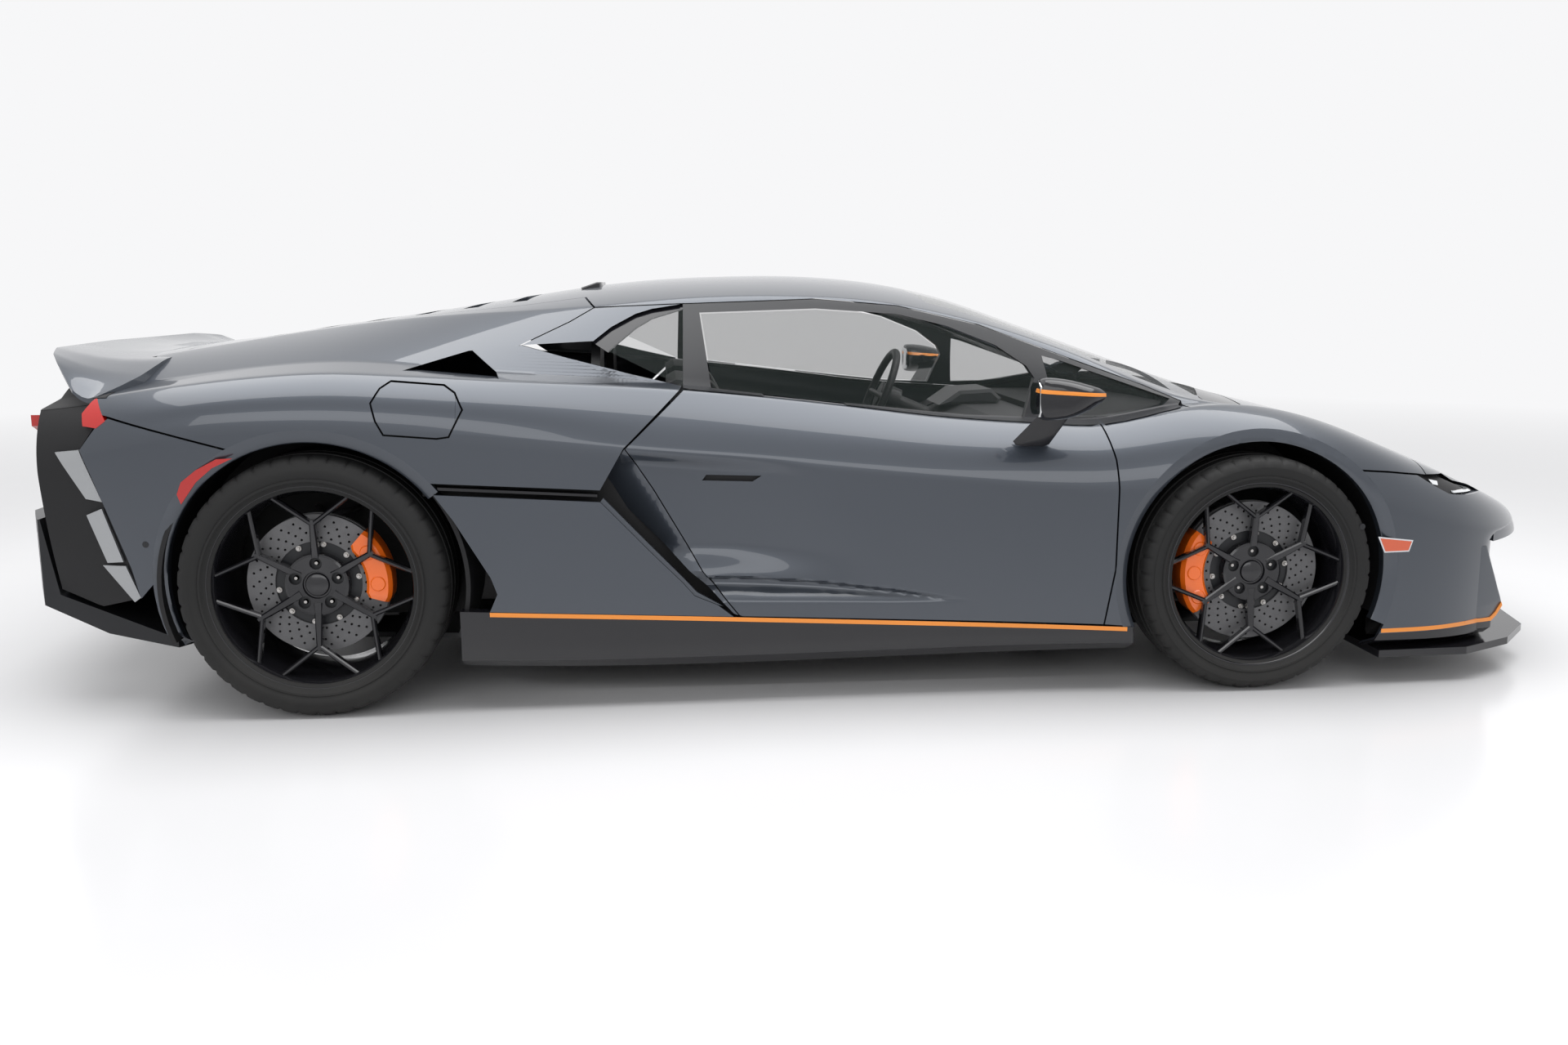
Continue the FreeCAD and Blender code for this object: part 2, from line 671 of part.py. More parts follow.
def make_diffuser():
    """Under-tray behind the tub, rising into the finned diffuser."""
    front = -1000 - SEAM
    profile = [(front, 118), (-1760, 150), (-2000, 210), (-2250, 340), (-2353, 440), (-2353, 520),
               (-2160, 520), (-2122, 325), (-1850, 205), (-1700, 165), (front, 132)]
    plan = [(front, 0), (front, 590), (-1760, 620), (-1830, 780), (-2150, 800), (-2353, 640), (-2353, 0)]
    plan = plan + [(x, -y) for x, y in reversed(plan[1:-1])]
    body = side_prism(profile, -850, 850).common(plan_prism(plan, 0, 800))
    channels = []
    for y in (-500, -260, 0, 260, 500):
        channels.append(side_prism([(-1900, 100), (-1900, 200), (-2400, 470), (-2400, 100)],
                                   y - 95, y + 95))
    for channel in channels:
        body = body.cut(channel)
    return largest(body)


DIFFUSER = make_diffuser()
add_piece("diffuser", DIFFUSER)


def make_rear_bumper():
    (seam_front, seam_low), (seam_rear, seam_high) = BUMPER_SEAM
    region = side_prism([(-1500, 100), (-1500, seam_low - SEAM), (seam_front, seam_low - SEAM),
                         (seam_rear, seam_high - SEAM), (-2200, seam_high - SEAM), (-2200, 100)])
    bumper = BODY_SHELL.common(region)
    for side in (REAR_WELL, mirrored(REAR_WELL)):
        bumper = bumper.cut(side)
    bumper = bumper.cut(block(-2200, -1500, -700, 700, 0, 500)).cut(DIFFUSER)
    return largest(bumper)


add_piece("rear_bumper", make_rear_bumper())


def hexagon_tube(x0, x1, y, z, radius, wall):
    def ring(r):
        return [(y + r * math.cos(math.radians(a)), z + r * math.sin(math.radians(a)))
                for a in range(0, 360, 60)]
    return front_prism(ring(radius), x0, x1).cut(front_prism(ring(radius - wall), x0 - 1, x1 - 30))


add_piece("exhaust_tips", both_sides(hexagon_tube(-2260, TAIL_FACE, 150, 640, 95, 8)))


def make_tail_lamps():
    lamp = front_prism([(560, 745), (820, 830), (820, 800), (700, 745), (800, 660), (770, 650),
                        (670, 720), (560, 720)], TAIL_FACE - 30, TAIL_FACE)
    return both_sides(lamp)


add_piece("tail_lamps", make_tail_lamps())


def make_head_lamps():
    lamp = OUTER.cut(body_form(30)).common(side_prism(shrink(HEAD_LAMP, SEAM), LAMP_INNER + SEAM))
    lamp = lamp.cut(plan_prism(LID_OUTLINE))
    return both_sides(largest(lamp))


add_piece("head_lamps", make_head_lamps())


# Tub: floor, side rails and bulkheads as one moulding
FLOOR = size("floor_height")
FLOOR_TOP = FLOOR + size("floor_thickness")
TUB_WALL = size("tub_wall")
FOOT_FRONT = 1110
SCUTTLE = 762


JACK_PADS = ((700, 700), (-600, 660))


def jack_pads():
    """Four square pads under the floor, where the car is lifted."""
    reach = size("jack_pad_side") / 2
    pads = [block(x - reach, x + reach, y - reach, y + reach, FLOOR - size("jack_pad_depth"), FLOOR)
            for x, y in JACK_PADS]
    return pads + [mirrored(pad) for pad in pads]


def make_tub():
    """Floor, rails, bulkheads and scuttle, moulded in one."""
    floor = plan_prism([(-1000, -600), (-700, -760), (860, -760), (900, -480), (FOOT_FRONT, -480),
                        (FOOT_FRONT, 480), (900, 480), (860, 760), (-700, 760), (-1000, 600)],
                       FLOOR, FLOOR_TOP)
    rail = block(-600, 830, 690, 736, FLOOR_TOP, 290)
    wall_end = BULKHEAD + TUB_WALL
    rear_wall = block(BULKHEAD, wall_end, -740, 740, 300, 1300).common(LINING)
    rear_wall = rear_wall.fuse(block(BULKHEAD, wall_end, -740, 740, FLOOR_TOP, 300))
    rear_window = block(-700, -560, -400, 400, 860, 1000)
    front_wall = block(FOOT_FRONT - TUB_WALL, FOOT_FRONT, -480, 480, FLOOR_TOP, SCUTTLE)
    foot_side = block(830, FOOT_FRONT, 480 - TUB_WALL, 480, FLOOR_TOP, SCUTTLE)
    arch_wall = block(830, 830 + TUB_WALL, 470, 736, FLOOR_TOP, SCUTTLE)
    scuttle = plan_prism([(830, -736), (1000, -700), (1250, -560), (1300, -300), (1320, 0),
                          (1300, 300), (1250, 560), (1000, 700), (830, 736)], SCUTTLE - 20, SCUTTLE)
    tub = floor
    brackets = []
    for z in HINGE_HEIGHTS:
        arm = block(HINGE_FACE, 872, 700, 922, z - 5, z + 55)
        brackets += [arm, mirrored(arm)]
    for part in jack_pads() + brackets + [rail, mirrored(rail), rear_wall.cut(rear_window), front_wall, foot_side,
                 mirrored(foot_side), arch_wall, mirrored(arch_wall), scuttle]:
        tub = tub.fuse(part)
    return largest(tub.removeSplitter())


add_piece("tub", make_tub())
ENGINE_REAR = -1250
add_piece("engine", block(ENGINE_REAR, BULKHEAD - SEAM, -330, 330, 180, 760))


def make_seat():
    """Bucket seat, cushion and back in one moulding."""
    base = FLOOR_TOP + SEAM
    side = [(400, base), (430, 330), (20, 270), (-60, 300), (-350, 900), (-440, 900), (-190, base)]
    return side_prism(side, 130, 600)


add_piece("seats", both_sides(make_seat()))


STEER_CENTRE = Vector(360, 365, 770)
STEER_AXIS = Vector(-1, 0, 0.42).normalize()
STEER_HUB = 78


def make_dashboard():
    """Dash, centre console and the fixed steering column."""
    side = [(828, 742), (650, 740), (560, 700), (590, 560), (700, 520), (828, 520)]
    dash = side_prism(side, -690, 690)
    console = side_prism([(700, FLOOR_TOP + 0.2), (-560, FLOOR_TOP + 0.2), (-560, 330), (150, 400),
                          (600, 600), (700, 600)], -115, 115)
    column = Part.makeCylinder(28, 200, STEER_CENTRE - STEER_AXIS * (STEER_HUB + SEAM), STEER_AXIS * -1)
    return dash.fuse(console).fuse(column).removeSplitter()


add_piece("dashboard", make_dashboard())


def make_steering_wheel():
    ring = Part.makeTorus(165, 14, STEER_CENTRE, STEER_AXIS)
    hub = Part.makeCylinder(48, STEER_HUB, STEER_CENTRE, STEER_AXIS * -1)
    bar = Part.makeCylinder(11, 330, STEER_CENTRE - Vector(0, 165, 0), Y_AXIS)
    return ring.fuse(hub).fuse(bar)


add_piece("steering_wheel", make_steering_wheel())

# Wheels: one rim, tyre and disc shape for each axle, placed four times


FLANGE = 8
SEAT_DROP = 16
RIM_INSET = 14


def tyre_shape(radius, width, rim_radius):
    """Tyre section from bead to bead, turned about the wheel's axis."""
    half = width / 2
    rim_half = half - RIM_INSET
    bead = rim_radius - SEAT_DROP + 0.3
    wall_points = [(rim_half - 1, rim_radius + 1.5), (half * 0.975, rim_radius + 20),
                   (half, rim_radius + 0.52 * (radius - rim_radius)), (half * 0.97, radius - 24),
                   (half * 0.84, radius - 5), (half * 0.45, radius - 1)]
    points = [Vector(0, y, r) for y, r in wall_points] + [Vector(0, 0, radius)]
    points += [Vector(0, -y, r) for y, r in reversed(wall_points)]
    inside = [points[-1], Vector(0, -(rim_half - FLANGE - 0.5), rim_radius + 0.5),
              Vector(0, -(rim_half - 14.5), bead), Vector(0, -(rim_half - 36), bead),
              Vector(0, -(rim_half - 22), radius - 26), Vector(0, rim_half - 22, radius - 26),
              Vector(0, rim_half - 36, bead), Vector(0, rim_half - 14.5, bead),
              Vector(0, rim_half - FLANGE - 0.5, rim_radius + 0.5), points[0]]
    face = Part.Face(Part.Wire([smooth_edge(points)] + Part.makePolygon(inside).Edges))
    return face.revolve(Vector(0, 0, 0), Y_AXIS, 360)


def rim_shape(rim_radius, width, junction):
    """Barrel, hub and six forked spokes; outer face towards +Y."""
    half = width / 2 - RIM_INSET
    wall = size("rim_barrel_wall")
    seat = rim_radius - SEAT_DROP
    profile = [(half, rim_radius), (half - 8, rim_radius), (half - 14, seat), (-half + 14, seat),
               (-half + 8, rim_radius), (-half, rim_radius), (-half, seat - wall),
               (half - 30, seat - wall - 14), (half, seat - wall)]
    points = [Vector(0, y, r) for y, r in profile]
    band = Part.Face(Part.makePolygon(points + points[:1])).revolve(Vector(0, 0, 0), Y_AXIS, 360)
    depth = size("spoke_depth")
    spoke_width = size("spoke_width")
    face = half - 6
    hub = Part.makeCylinder(88, 60, Vector(0, face - 66, 0), Y_AXIS)
    hub = hub.cut(Part.makeCylinder(size("hub_bore_radius"), 90, Vector(0, face - 80, 0), Y_AXIS))
    for k in range(5):
        a = math.radians(72 * k)
        reach = size("stud_circle") / 2
        hub = hub.cut(Part.makeCylinder(size("stud_hole_radius"), 90,
                                        Vector(reach * math.sin(a), face - 80, reach * math.cos(a)), Y_AXIS))

    def bar(a0, r0, a1, r1):
        p = Vector(r0 * math.sin(a0), 0, r0 * math.cos(a0))
        q = Vector(r1 * math.sin(a1), 0, r1 * math.cos(a1))
        along = (q - p).normalize()
        across = along.cross(Y_AXIS) * (spoke_width / 2)
        corners = [p - across, q - across, q + across, p + across]
        corners = [Vector(c.x, face - depth, c.z) for c in corners]
        return Part.Face(Part.makePolygon(corners + corners[:1])).extrude(Vector(0, depth, 0))

    rim = band.fuse(hub)
    tip = math.radians(21.5)
    bars = []
    for k in range(6):
        a = math.radians(60 * k)
        bars.append(bar(a, 70, a, junction))
        bars.append(bar(a, junction, a - tip, seat - wall + 4))
        bars.append(bar(a, junction, a + tip, seat - wall + 4))
    rim = rim.multiFuse(bars)
    return largest(rim.removeSplitter())


KNUCKLE_DEPTH = 44
KNUCKLE_REACH = 150
DISC_SHIFT = {"front": KNUCKLE_DEPTH - size("steer_offset"), "rear": 55}


def hub_back(kind):
    return size(kind + "_tyre_width") / 2 - RIM_INSET - 72


def disc_shape(kind):
    """Brake disc with a bell that seats on the back of the hub."""
    diameter = size(kind + "_disc_diameter")
    thickness = size("disc_thickness")
    middle = DISC_SHIFT[kind]
    disc = Part.makeCylinder(diameter / 2, thickness, Vector(0, middle - thickness / 2, 0), Y_AXIS)
    bell = Part.makeCylinder(82, hub_back(kind) - middle, Vector(0, middle, 0), Y_AXIS)
    bore = Part.makeCylinder(size("hub_bore_radius"), 100, Vector(0, middle - 40, 0), Y_AXIS)
    return disc.fuse(bell).cut(bore)


def caliper_shape(kind, lead, turn):
    """Caliper block that bends round the disc's rim."""
    diameter = size(kind + "_disc_diameter")
    outer_r = diameter / 2 + 14
    inner_r = diameter / 2 - 62
    half = 50
    ring = Part.makeCylinder(outer_r, 2 * half, Vector(0, -half, 0), Y_AXIS)
    ring = ring.cut(Part.makeCylinder(inner_r, 2 * half + 2, Vector(0, -half - 1, 0), Y_AXIS))
    gap = size("disc_thickness") / 2 + 5
    slot = Part.makeCylinder(diameter / 2 + 4, 2 * gap, Vector(0, -gap, 0), Y_AXIS)
    wedge_angle = math.radians(lead)
    far = 600
    wedge = side_prism([(0, 0), (far * math.cos(wedge_angle), far * math.sin(wedge_angle)),
                        (far * 1.2, 0), (far * math.cos(wedge_angle), -far * math.sin(wedge_angle))], -200, 200)
    caliper = largest(ring.cut(slot).common(wedge))
    caliper.rotate(Vector(0, 0, 0), Y_AXIS, turn)
    caliper.translate(Vector(0, DISC_SHIFT[kind], 0))
    return caliper


def knuckle_shape(kind, turn):
    """Upright with hub carrier and caliper ear, inboard of the disc."""
    middle = DISC_SHIFT[kind]
    carrier = Part.makeCylinder(62, 56, Vector(0, middle - 78, 0), Y_AXIS)
    post = block(-24, 24, middle - 62, middle - 26, -KNUCKLE_REACH, KNUCKLE_REACH)
    ear = block(20, size(kind + "_disc_diameter") / 2 - 62.5, middle - 49, middle - 29, -45, 45)
    ear = ear.common(Part.makeCylinder(size(kind + "_disc_diameter") / 2 - 62.4, 400,
                                       Vector(0, -200, 0), Y_AXIS))
    ear.rotate(Vector(0, 0, 0), Y_AXIS, turn)
    spindle = Part.makeCylinder(size("hub_bore_radius") - 0.3, hub_back(kind) + 22 - middle,
                                Vector(0, middle - 22, 0), Y_AXIS)
    return largest(carrier.fuse(post).fuse(ear).fuse(spindle).removeSplitter())


WHEELS = [
    ("front_left", FRONT_AXLE, size("front_track") / 2, FRONT_TYRE_RADIUS, 1),
    ("front_right", FRONT_AXLE, -size("front_track") / 2, FRONT_TYRE_RADIUS, -1),
    ("rear_left", REAR_AXLE, size("rear_track") / 2, REAR_TYRE_RADIUS, 1),
    ("rear_right", REAR_AXLE, -size("rear_track") / 2, REAR_TYRE_RADIUS, -1),
]

SHAPES = {
    "front": (tyre_shape(FRONT_TYRE_RADIUS, size("front_tyre_width"), size("front_rim_diameter") / 2),
              rim_shape(size("front_rim_diameter") / 2, size("front_tyre_width"), 168),
              disc_shape("front"), caliper_shape("front", 36, 180), knuckle_shape("front", 180)),
    "rear": (tyre_shape(REAR_TYRE_RADIUS, size("rear_tyre_width"), size("rear_rim_diameter") / 2),
             rim_shape(size("rear_rim_diameter") / 2, size("rear_tyre_width"), 177),
             disc_shape("rear"), caliper_shape("rear", 30, -15), knuckle_shape("rear", -15)),
}


def handed(shape, side):
    return shape if side > 0 else mirrored(shape)


REAR_GROUPS = {"rear_knuckles": [], "rear_calipers": []}
for corner, axle, track, radius, side in WHEELS:
    kind = corner.split("_")[0]
    tyre, rim, disc, caliper, knuckle = SHAPES[kind]
    centre = Vector(axle, track, radius)
    add_piece("tyre_" + corner, handed(tyre, side), centre)
    add_piece("rim_" + corner, handed(rim, side), centre)
    add_piece("disc_" + corner, handed(disc, side), centre)
    if kind == "front":
        add_piece("caliper_" + corner, handed(caliper, side), centre)
        add_piece("knuckle_" + corner, handed(knuckle, side), centre)
    else:
        REAR_GROUPS["rear_calipers"].append(handed(caliper, side).translated(centre))
        REAR_GROUPS["rear_knuckles"].append(handed(knuckle, side).translated(centre))
for name, shapes in REAR_GROUPS.items():
    add_piece(name, Part.makeCompound(shapes))


# Suspension arms, half shafts and wheel liners


def rod(start, end, radius):
    along = end - start
    return Part.makeCylinder(radius, along.Length, start, along)


def wishbone(axle, outer_y, inner_y, low, high, spread):
    """A two-legged arm with its ball joint end under or over the knuckle."""
    middle = (low + high) / 2
    joint = Vector(axle, outer_y, middle)
    end = Part.makeCylinder(20, high - low, Vector(axle, outer_y, low))
    legs = [rod(joint, Vector(axle + s * spread, inner_y, middle + 8), 10) for s in (1, -1)]
    pivot = rod(Vector(axle - spread - 25, inner_y, middle + 8),
                Vector(axle + spread + 25, inner_y, middle + 8), 16)
    return end.fuse(legs[0]).fuse(legs[1]).fuse(pivot)


def suspension(axle, track, disc_shift, radius, inner_y):
    joint_y = track / 2 + disc_shift - KNUCKLE_DEPTH
    lower = wishbone(axle, joint_y, inner_y, radius - KNUCKLE_REACH - 26, radius - KNUCKLE_REACH - 0.3, 115)
    upper = wishbone(axle, joint_y, inner_y + 40, radius + KNUCKLE_REACH + 0.3, radius + KNUCKLE_REACH + 24, 100)
    return [lower, upper]


front_arms = suspension(FRONT_AXLE, size("front_track"), DISC_SHIFT["front"], FRONT_TYRE_RADIUS, 430)
front_frame = block(FOOT_FRONT + SEAM, FRONT_AXLE + 150, -410, 410, 150, 215)
front_members = [front_frame]
for arm in front_arms:
    front_members.append(arm)
    front_members.append(mirrored(arm))
towers = block(FRONT_AXLE - 145, FRONT_AXLE + 145, 395, 455, 150, 540)
crossing = front_members[0].fuse(towers).fuse(mirrored(towers))
for member in front_members[1:]:
    crossing = crossing.fuse(member)
add_piece("front_suspension", largest(crossing))

rear_arms = suspension(REAR_AXLE, size("rear_track"), DISC_SHIFT["rear"], REAR_TYRE_RADIUS, 430)
gearbox = block(REAR_AXLE - 190, ENGINE_REAR - SEAM, -230, 230, 190, 520)
rear_tower = block(REAR_AXLE - 130, REAR_AXLE + 130, 220, 450, 170, 215)
rear_post = block(REAR_AXLE - 130, REAR_AXLE + 130, 425, 485, 170, 570)
shaft_end = size("rear_track") / 2 + DISC_SHIFT["rear"] - 78.3
shaft = barrel(17, REAR_AXLE, REAR_TYRE_RADIUS, 225, shaft_end)
crossing = gearbox
for member in [rear_tower, rear_post, shaft] + rear_arms:
    crossing = crossing.fuse(member).fuse(mirrored(member))
add_piece("rear_suspension", largest(crossing))


def wheel_liner(axle, radius, height, inner, outer, low):
    skin = 5
    ring = barrel(radius - 0.4, axle, height, inner, outer)
    ring = ring.cut(barrel(radius - 0.4 - skin, axle, height, inner + skin, outer + 1))
    ring = ring.cut(block(axle - 500, axle + 500, 0, FAR, -FAR, height + low))
    return ring.common(TRIM_FORM)


front_liner = wheel_liner(FRONT_AXLE, FRONT_WELL_RADIUS, FRONT_TYRE_RADIUS, FRONT_WELL_INNER, 960, 60)
front_liner = front_liner.cut(block(FRONT_AXLE - 190, FRONT_AXLE + 190, 300, 560, 0, 570))
rear_liner = wheel_liner(REAR_AXLE, REAR_WELL_RADIUS, REAR_TYRE_RADIUS, REAR_WELL_INNER, 980, 60)
rear_liner = rear_liner.cut(block(REAR_AXLE - 190, REAR_AXLE + 190, 300, 700, 0, 600))
add_piece("wheel_liners", Part.makeCompound([largest(front_liner), mirrored(largest(front_liner)),
                                             largest(rear_liner), mirrored(largest(rear_liner))]))


def make_luggage_tub():
    """Open-topped box under the front lid."""
    outer = side_prism([(1440, 330), (2000, 330), (2040, 700), (1440, 900)], -430, 430)
    inner = side_prism([(1450, 340), (1991, 340), (2030, 700), (1450, 900)], -420, 420)
    tub = outer.cut(inner).common(body_form(28 + SEAM))
    for side in (1, -1):
        tub = tub.fuse(block(FRONT_AXLE + 145 + SEAM, 1441, side * 415 - 15, side * 415 + 15, 340, 380))
    return largest(tub)


add_piece("luggage_tub", make_luggage_tub())

doc.recompute()
failed = [o.Name for o in doc.Objects if "Invalid" in o.State or "Error" in o.State]
if failed:
    raise RuntimeError("failed objects: %s" % failed)
for name, piece in PIECES.items():
    if piece.Shape.isNull() or not piece.Shape.isValid():
        raise RuntimeError("bad shape: " + name)

os.makedirs("parts", exist_ok=True)
for name, piece in PIECES.items():
    piece.Shape.exportStep("parts/%s.step" % name)
    print(name, len(piece.Shape.Solids), round(piece.Shape.Volume / 1e6, 2))
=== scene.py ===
# %% [markdown]
# # A mid-engined supercar, dressed around its frame
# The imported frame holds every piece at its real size, with the origin on the ground below the
# middle of the car, +X to the nose and +Z up. This script only adds looks. Its numbers are in
# millimetres, as on a workshop drawing, and one helper turns them into Blender's metres.

import math

import bpy
import numpy as np
from mathutils import Euler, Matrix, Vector


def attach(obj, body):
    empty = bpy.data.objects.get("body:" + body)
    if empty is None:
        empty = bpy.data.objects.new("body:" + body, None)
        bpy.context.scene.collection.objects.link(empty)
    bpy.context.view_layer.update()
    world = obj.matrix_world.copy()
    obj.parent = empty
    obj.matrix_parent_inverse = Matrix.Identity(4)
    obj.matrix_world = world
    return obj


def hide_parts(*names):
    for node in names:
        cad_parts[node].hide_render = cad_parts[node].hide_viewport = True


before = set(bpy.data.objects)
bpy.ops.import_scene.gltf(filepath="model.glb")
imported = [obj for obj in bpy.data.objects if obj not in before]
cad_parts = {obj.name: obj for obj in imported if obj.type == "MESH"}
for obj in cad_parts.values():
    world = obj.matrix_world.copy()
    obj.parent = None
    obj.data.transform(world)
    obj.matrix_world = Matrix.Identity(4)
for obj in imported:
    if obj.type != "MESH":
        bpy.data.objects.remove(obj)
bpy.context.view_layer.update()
MM = 0.001
SCENE = bpy.context.scene

# %% [markdown]
# ## Camera, floor and light
# The photographer stood about five metres from the car's right side, a little behind its middle,
# and held the camera level with the roof, looking slightly down. The studio is a pale room lit
# from a white ceiling, so a wide soft lamp above, a weaker one on the camera's side and a bright
# surround are enough.

# %% Camera
CAMERA_PLACE = (-0.427, -4.757, 1.176)
CAMERA_YAW = math.radians(-4.86)
CAMERA_PITCH = math.radians(-9.77)
CAMERA_ROLL = math.radians(-0.21)
LENS = 31.875
camera_data = bpy.data.cameras.new("camera")
camera_data.lens = LENS
camera_data.sensor_width = 36.0
camera = bpy.data.objects.new("camera", camera_data)
camera.location = CAMERA_PLACE
level = Euler((math.pi / 2 + CAMERA_PITCH, 0.0, 0.0)).to_matrix()
turned = Euler((0.0, 0.0, CAMERA_YAW)).to_matrix() @ level
turned = turned @ Euler((0.0, 0.0, CAMERA_ROLL)).to_matrix()
camera.rotation_euler = turned.to_euler()
SCENE.collection.objects.link(camera)
SCENE.camera = camera
print("camera:", [round(v, 2) for v in camera.location])


# %% Lamps and world
def soft_lamp(name, place, aim, width, depth, watts):
    """A rectangular lamp that faces a point."""
    data = bpy.data.lights.new(name, "AREA")
    data.shape = "RECTANGLE"
    data.size, data.size_y, data.energy = width, depth, watts
    lamp = bpy.data.objects.new(name, data)
    lamp.location = place
    lamp.rotation_euler = (Vector(aim) - Vector(place)).to_track_quat("-Z", "Y").to_euler()
    SCENE.collection.objects.link(lamp)
    return lamp


soft_lamp("ceiling", (0, -0.5, 4.2), (0, 0, 0), width=8.0, depth=4.0, watts=330)
soft_lamp("near_wall", (-1.0, -7.5, 3.2), (0, 0, 0.6), width=9.0, depth=2.2, watts=120)
SCENE.view_settings.view_transform = "Standard"
world = bpy.data.worlds.new("studio")
world.use_nodes = True
SCENE.world = world
BACKDROP = (0.93, 0.93, 0.94, 1)
FILL_STRENGTH = 0.62


def add_node(tree, kind, feeds=(), **settings):
    """A new node. Each feed names an input and gives it a value or another node's output."""
    node = tree.nodes.new(kind)
    for name, value in settings.items():
        setattr(node, name, value)
    for label, source in feeds:
        if isinstance(source, bpy.types.NodeSocket):
            tree.links.new(source, node.inputs[label])
        else:
            node.inputs[label].default_value = source
    return node


def calculate(tree, operation, *values):
    """The output of a maths node."""
    return add_node(tree, "ShaderNodeMath", enumerate(values), operation=operation).outputs[0]


def seen_ray(tree):
    """1 for rays from the camera, in a reflection or through glass."""
    path = add_node(tree, "ShaderNodeLightPath").outputs
    direct = calculate(tree, "MAXIMUM", path["Is Camera Ray"], path["Is Glossy Ray"])
    return calculate(tree, "MAXIMUM", direct, path["Is Transmission Ray"])


def world_nodes():
    """Plain light on surfaces, and the pale room where the camera or a reflection looks."""
    tree = world.node_tree
    tree.nodes.clear()
    fill = add_node(tree, "ShaderNodeBackground", [(0, BACKDROP), (1, FILL_STRENGTH)])
    room = add_node(tree, "ShaderNodeBackground", [(0, BACKDROP)])
    mix = add_node(tree, "ShaderNodeMixShader",
                   [(0, seen_ray(tree)), (1, fill.outputs[0]), (2, room.outputs[0])])
    add_node(tree, "ShaderNodeOutputWorld", [(0, mix.outputs[0])])


world_nodes()
print("world and two lamps")

# %% [markdown]
# ## Finishes
# Every finish is procedural. Two node groups are shared. One gives a fine grain: a mottle for
# colour and roughness, and a height for bump. The other gives a film of dust that gathers low
# on the car. Each material places the groups with its own values and keeps its own shader.


# %% Shared node groups
def new_group(name, inputs, outputs):
    """An empty shader group with float inputs and outputs, and its two end nodes."""
    group = bpy.data.node_groups.new(name, "ShaderNodeTree")
    for label, value in inputs:
        socket = group.interface.new_socket(label, in_out="INPUT", socket_type="NodeSocketFloat")
        socket.default_value = value
    for label, kind in outputs:
        group.interface.new_socket(label, in_out="OUTPUT", socket_type=kind)
    return group, group.nodes.new("NodeGroupInput"), group.nodes.new("NodeGroupOutput")


def grain_group():
    """Fine mottle: two scales of noise, as a mask and as a height."""
    group, start, end = new_group("grain", [("Scale", 400.0), ("Broad", 6.0), ("Contrast", 0.5)],
                                  [("Mask", "NodeSocketFloat"), ("Height", "NodeSocketFloat")])
    place = add_node(group, "ShaderNodeTexCoord").outputs["Object"]
    fine, broad = (add_node(group, "ShaderNodeTexNoise", [("Vector", place), ("Detail", detail),
                                                          ("Scale", start.outputs[label])])
                   for label, detail in (("Scale", 3.0), ("Broad", 2.0)))
    mix = add_node(group, "ShaderNodeMix",
                   [("Factor", 0.5), ("A", fine.outputs["Fac"]), ("B", broad.outputs["Fac"])])
    centred = calculate(group, "SUBTRACT", mix.outputs["Result"], 0.5)
    spread = calculate(group, "MULTIPLY_ADD", centred, start.outputs["Contrast"], 0.5)
    group.links.new(spread, end.inputs["Mask"])
    group.links.new(fine.outputs["Fac"], end.inputs["Height"])
    return group


def dust_group():
    """Film that is thickest near the ground and broken up by noise."""
    group, start, end = new_group("dust", [("Reach", 0.35), ("Amount", 0.2)],
                                  [("Mask", "NodeSocketFloat")])
    place = add_node(group, "ShaderNodeTexCoord").outputs["Object"]
    height = add_node(group, "ShaderNodeSeparateXYZ", [(0, place)]).outputs["Z"]
    low = calculate(group, "DIVIDE", height, start.outputs["Reach"])
    flip = add_node(group, "ShaderNodeMath", [(0, 1.0), (1, low)], operation="SUBTRACT",
                    use_clamp=True)
    noise = add_node(group, "ShaderNodeTexNoise",
                     [("Vector", place), ("Scale", 9.0), ("Detail", 5.0)])
    broken = calculate(group, "MULTIPLY", flip.outputs[0], noise.outputs["Fac"])
    final = calculate(group, "MULTIPLY", broken, start.outputs["Amount"])
    group.links.new(final, end.inputs["Mask"])
    return group


GRAIN = grain_group()
DUST = dust_group()
DUST_COLOUR = (0.36, 0.34, 0.31, 1)
print("groups:", GRAIN.name, DUST.name)


# %% [markdown]
# Nearly every finish on a car is one plain surface with tiny changes in it, so one function can
# make them all: two close colours mixed by the grain, a roughness that follows it, a film of dust
# on top, and a clear coat where there is lacquer. The numbers stay beside each finish's name.

# %% The material recipe
BUMP_STRENGTH = 0.5
COAT_ROUGH = 0.03


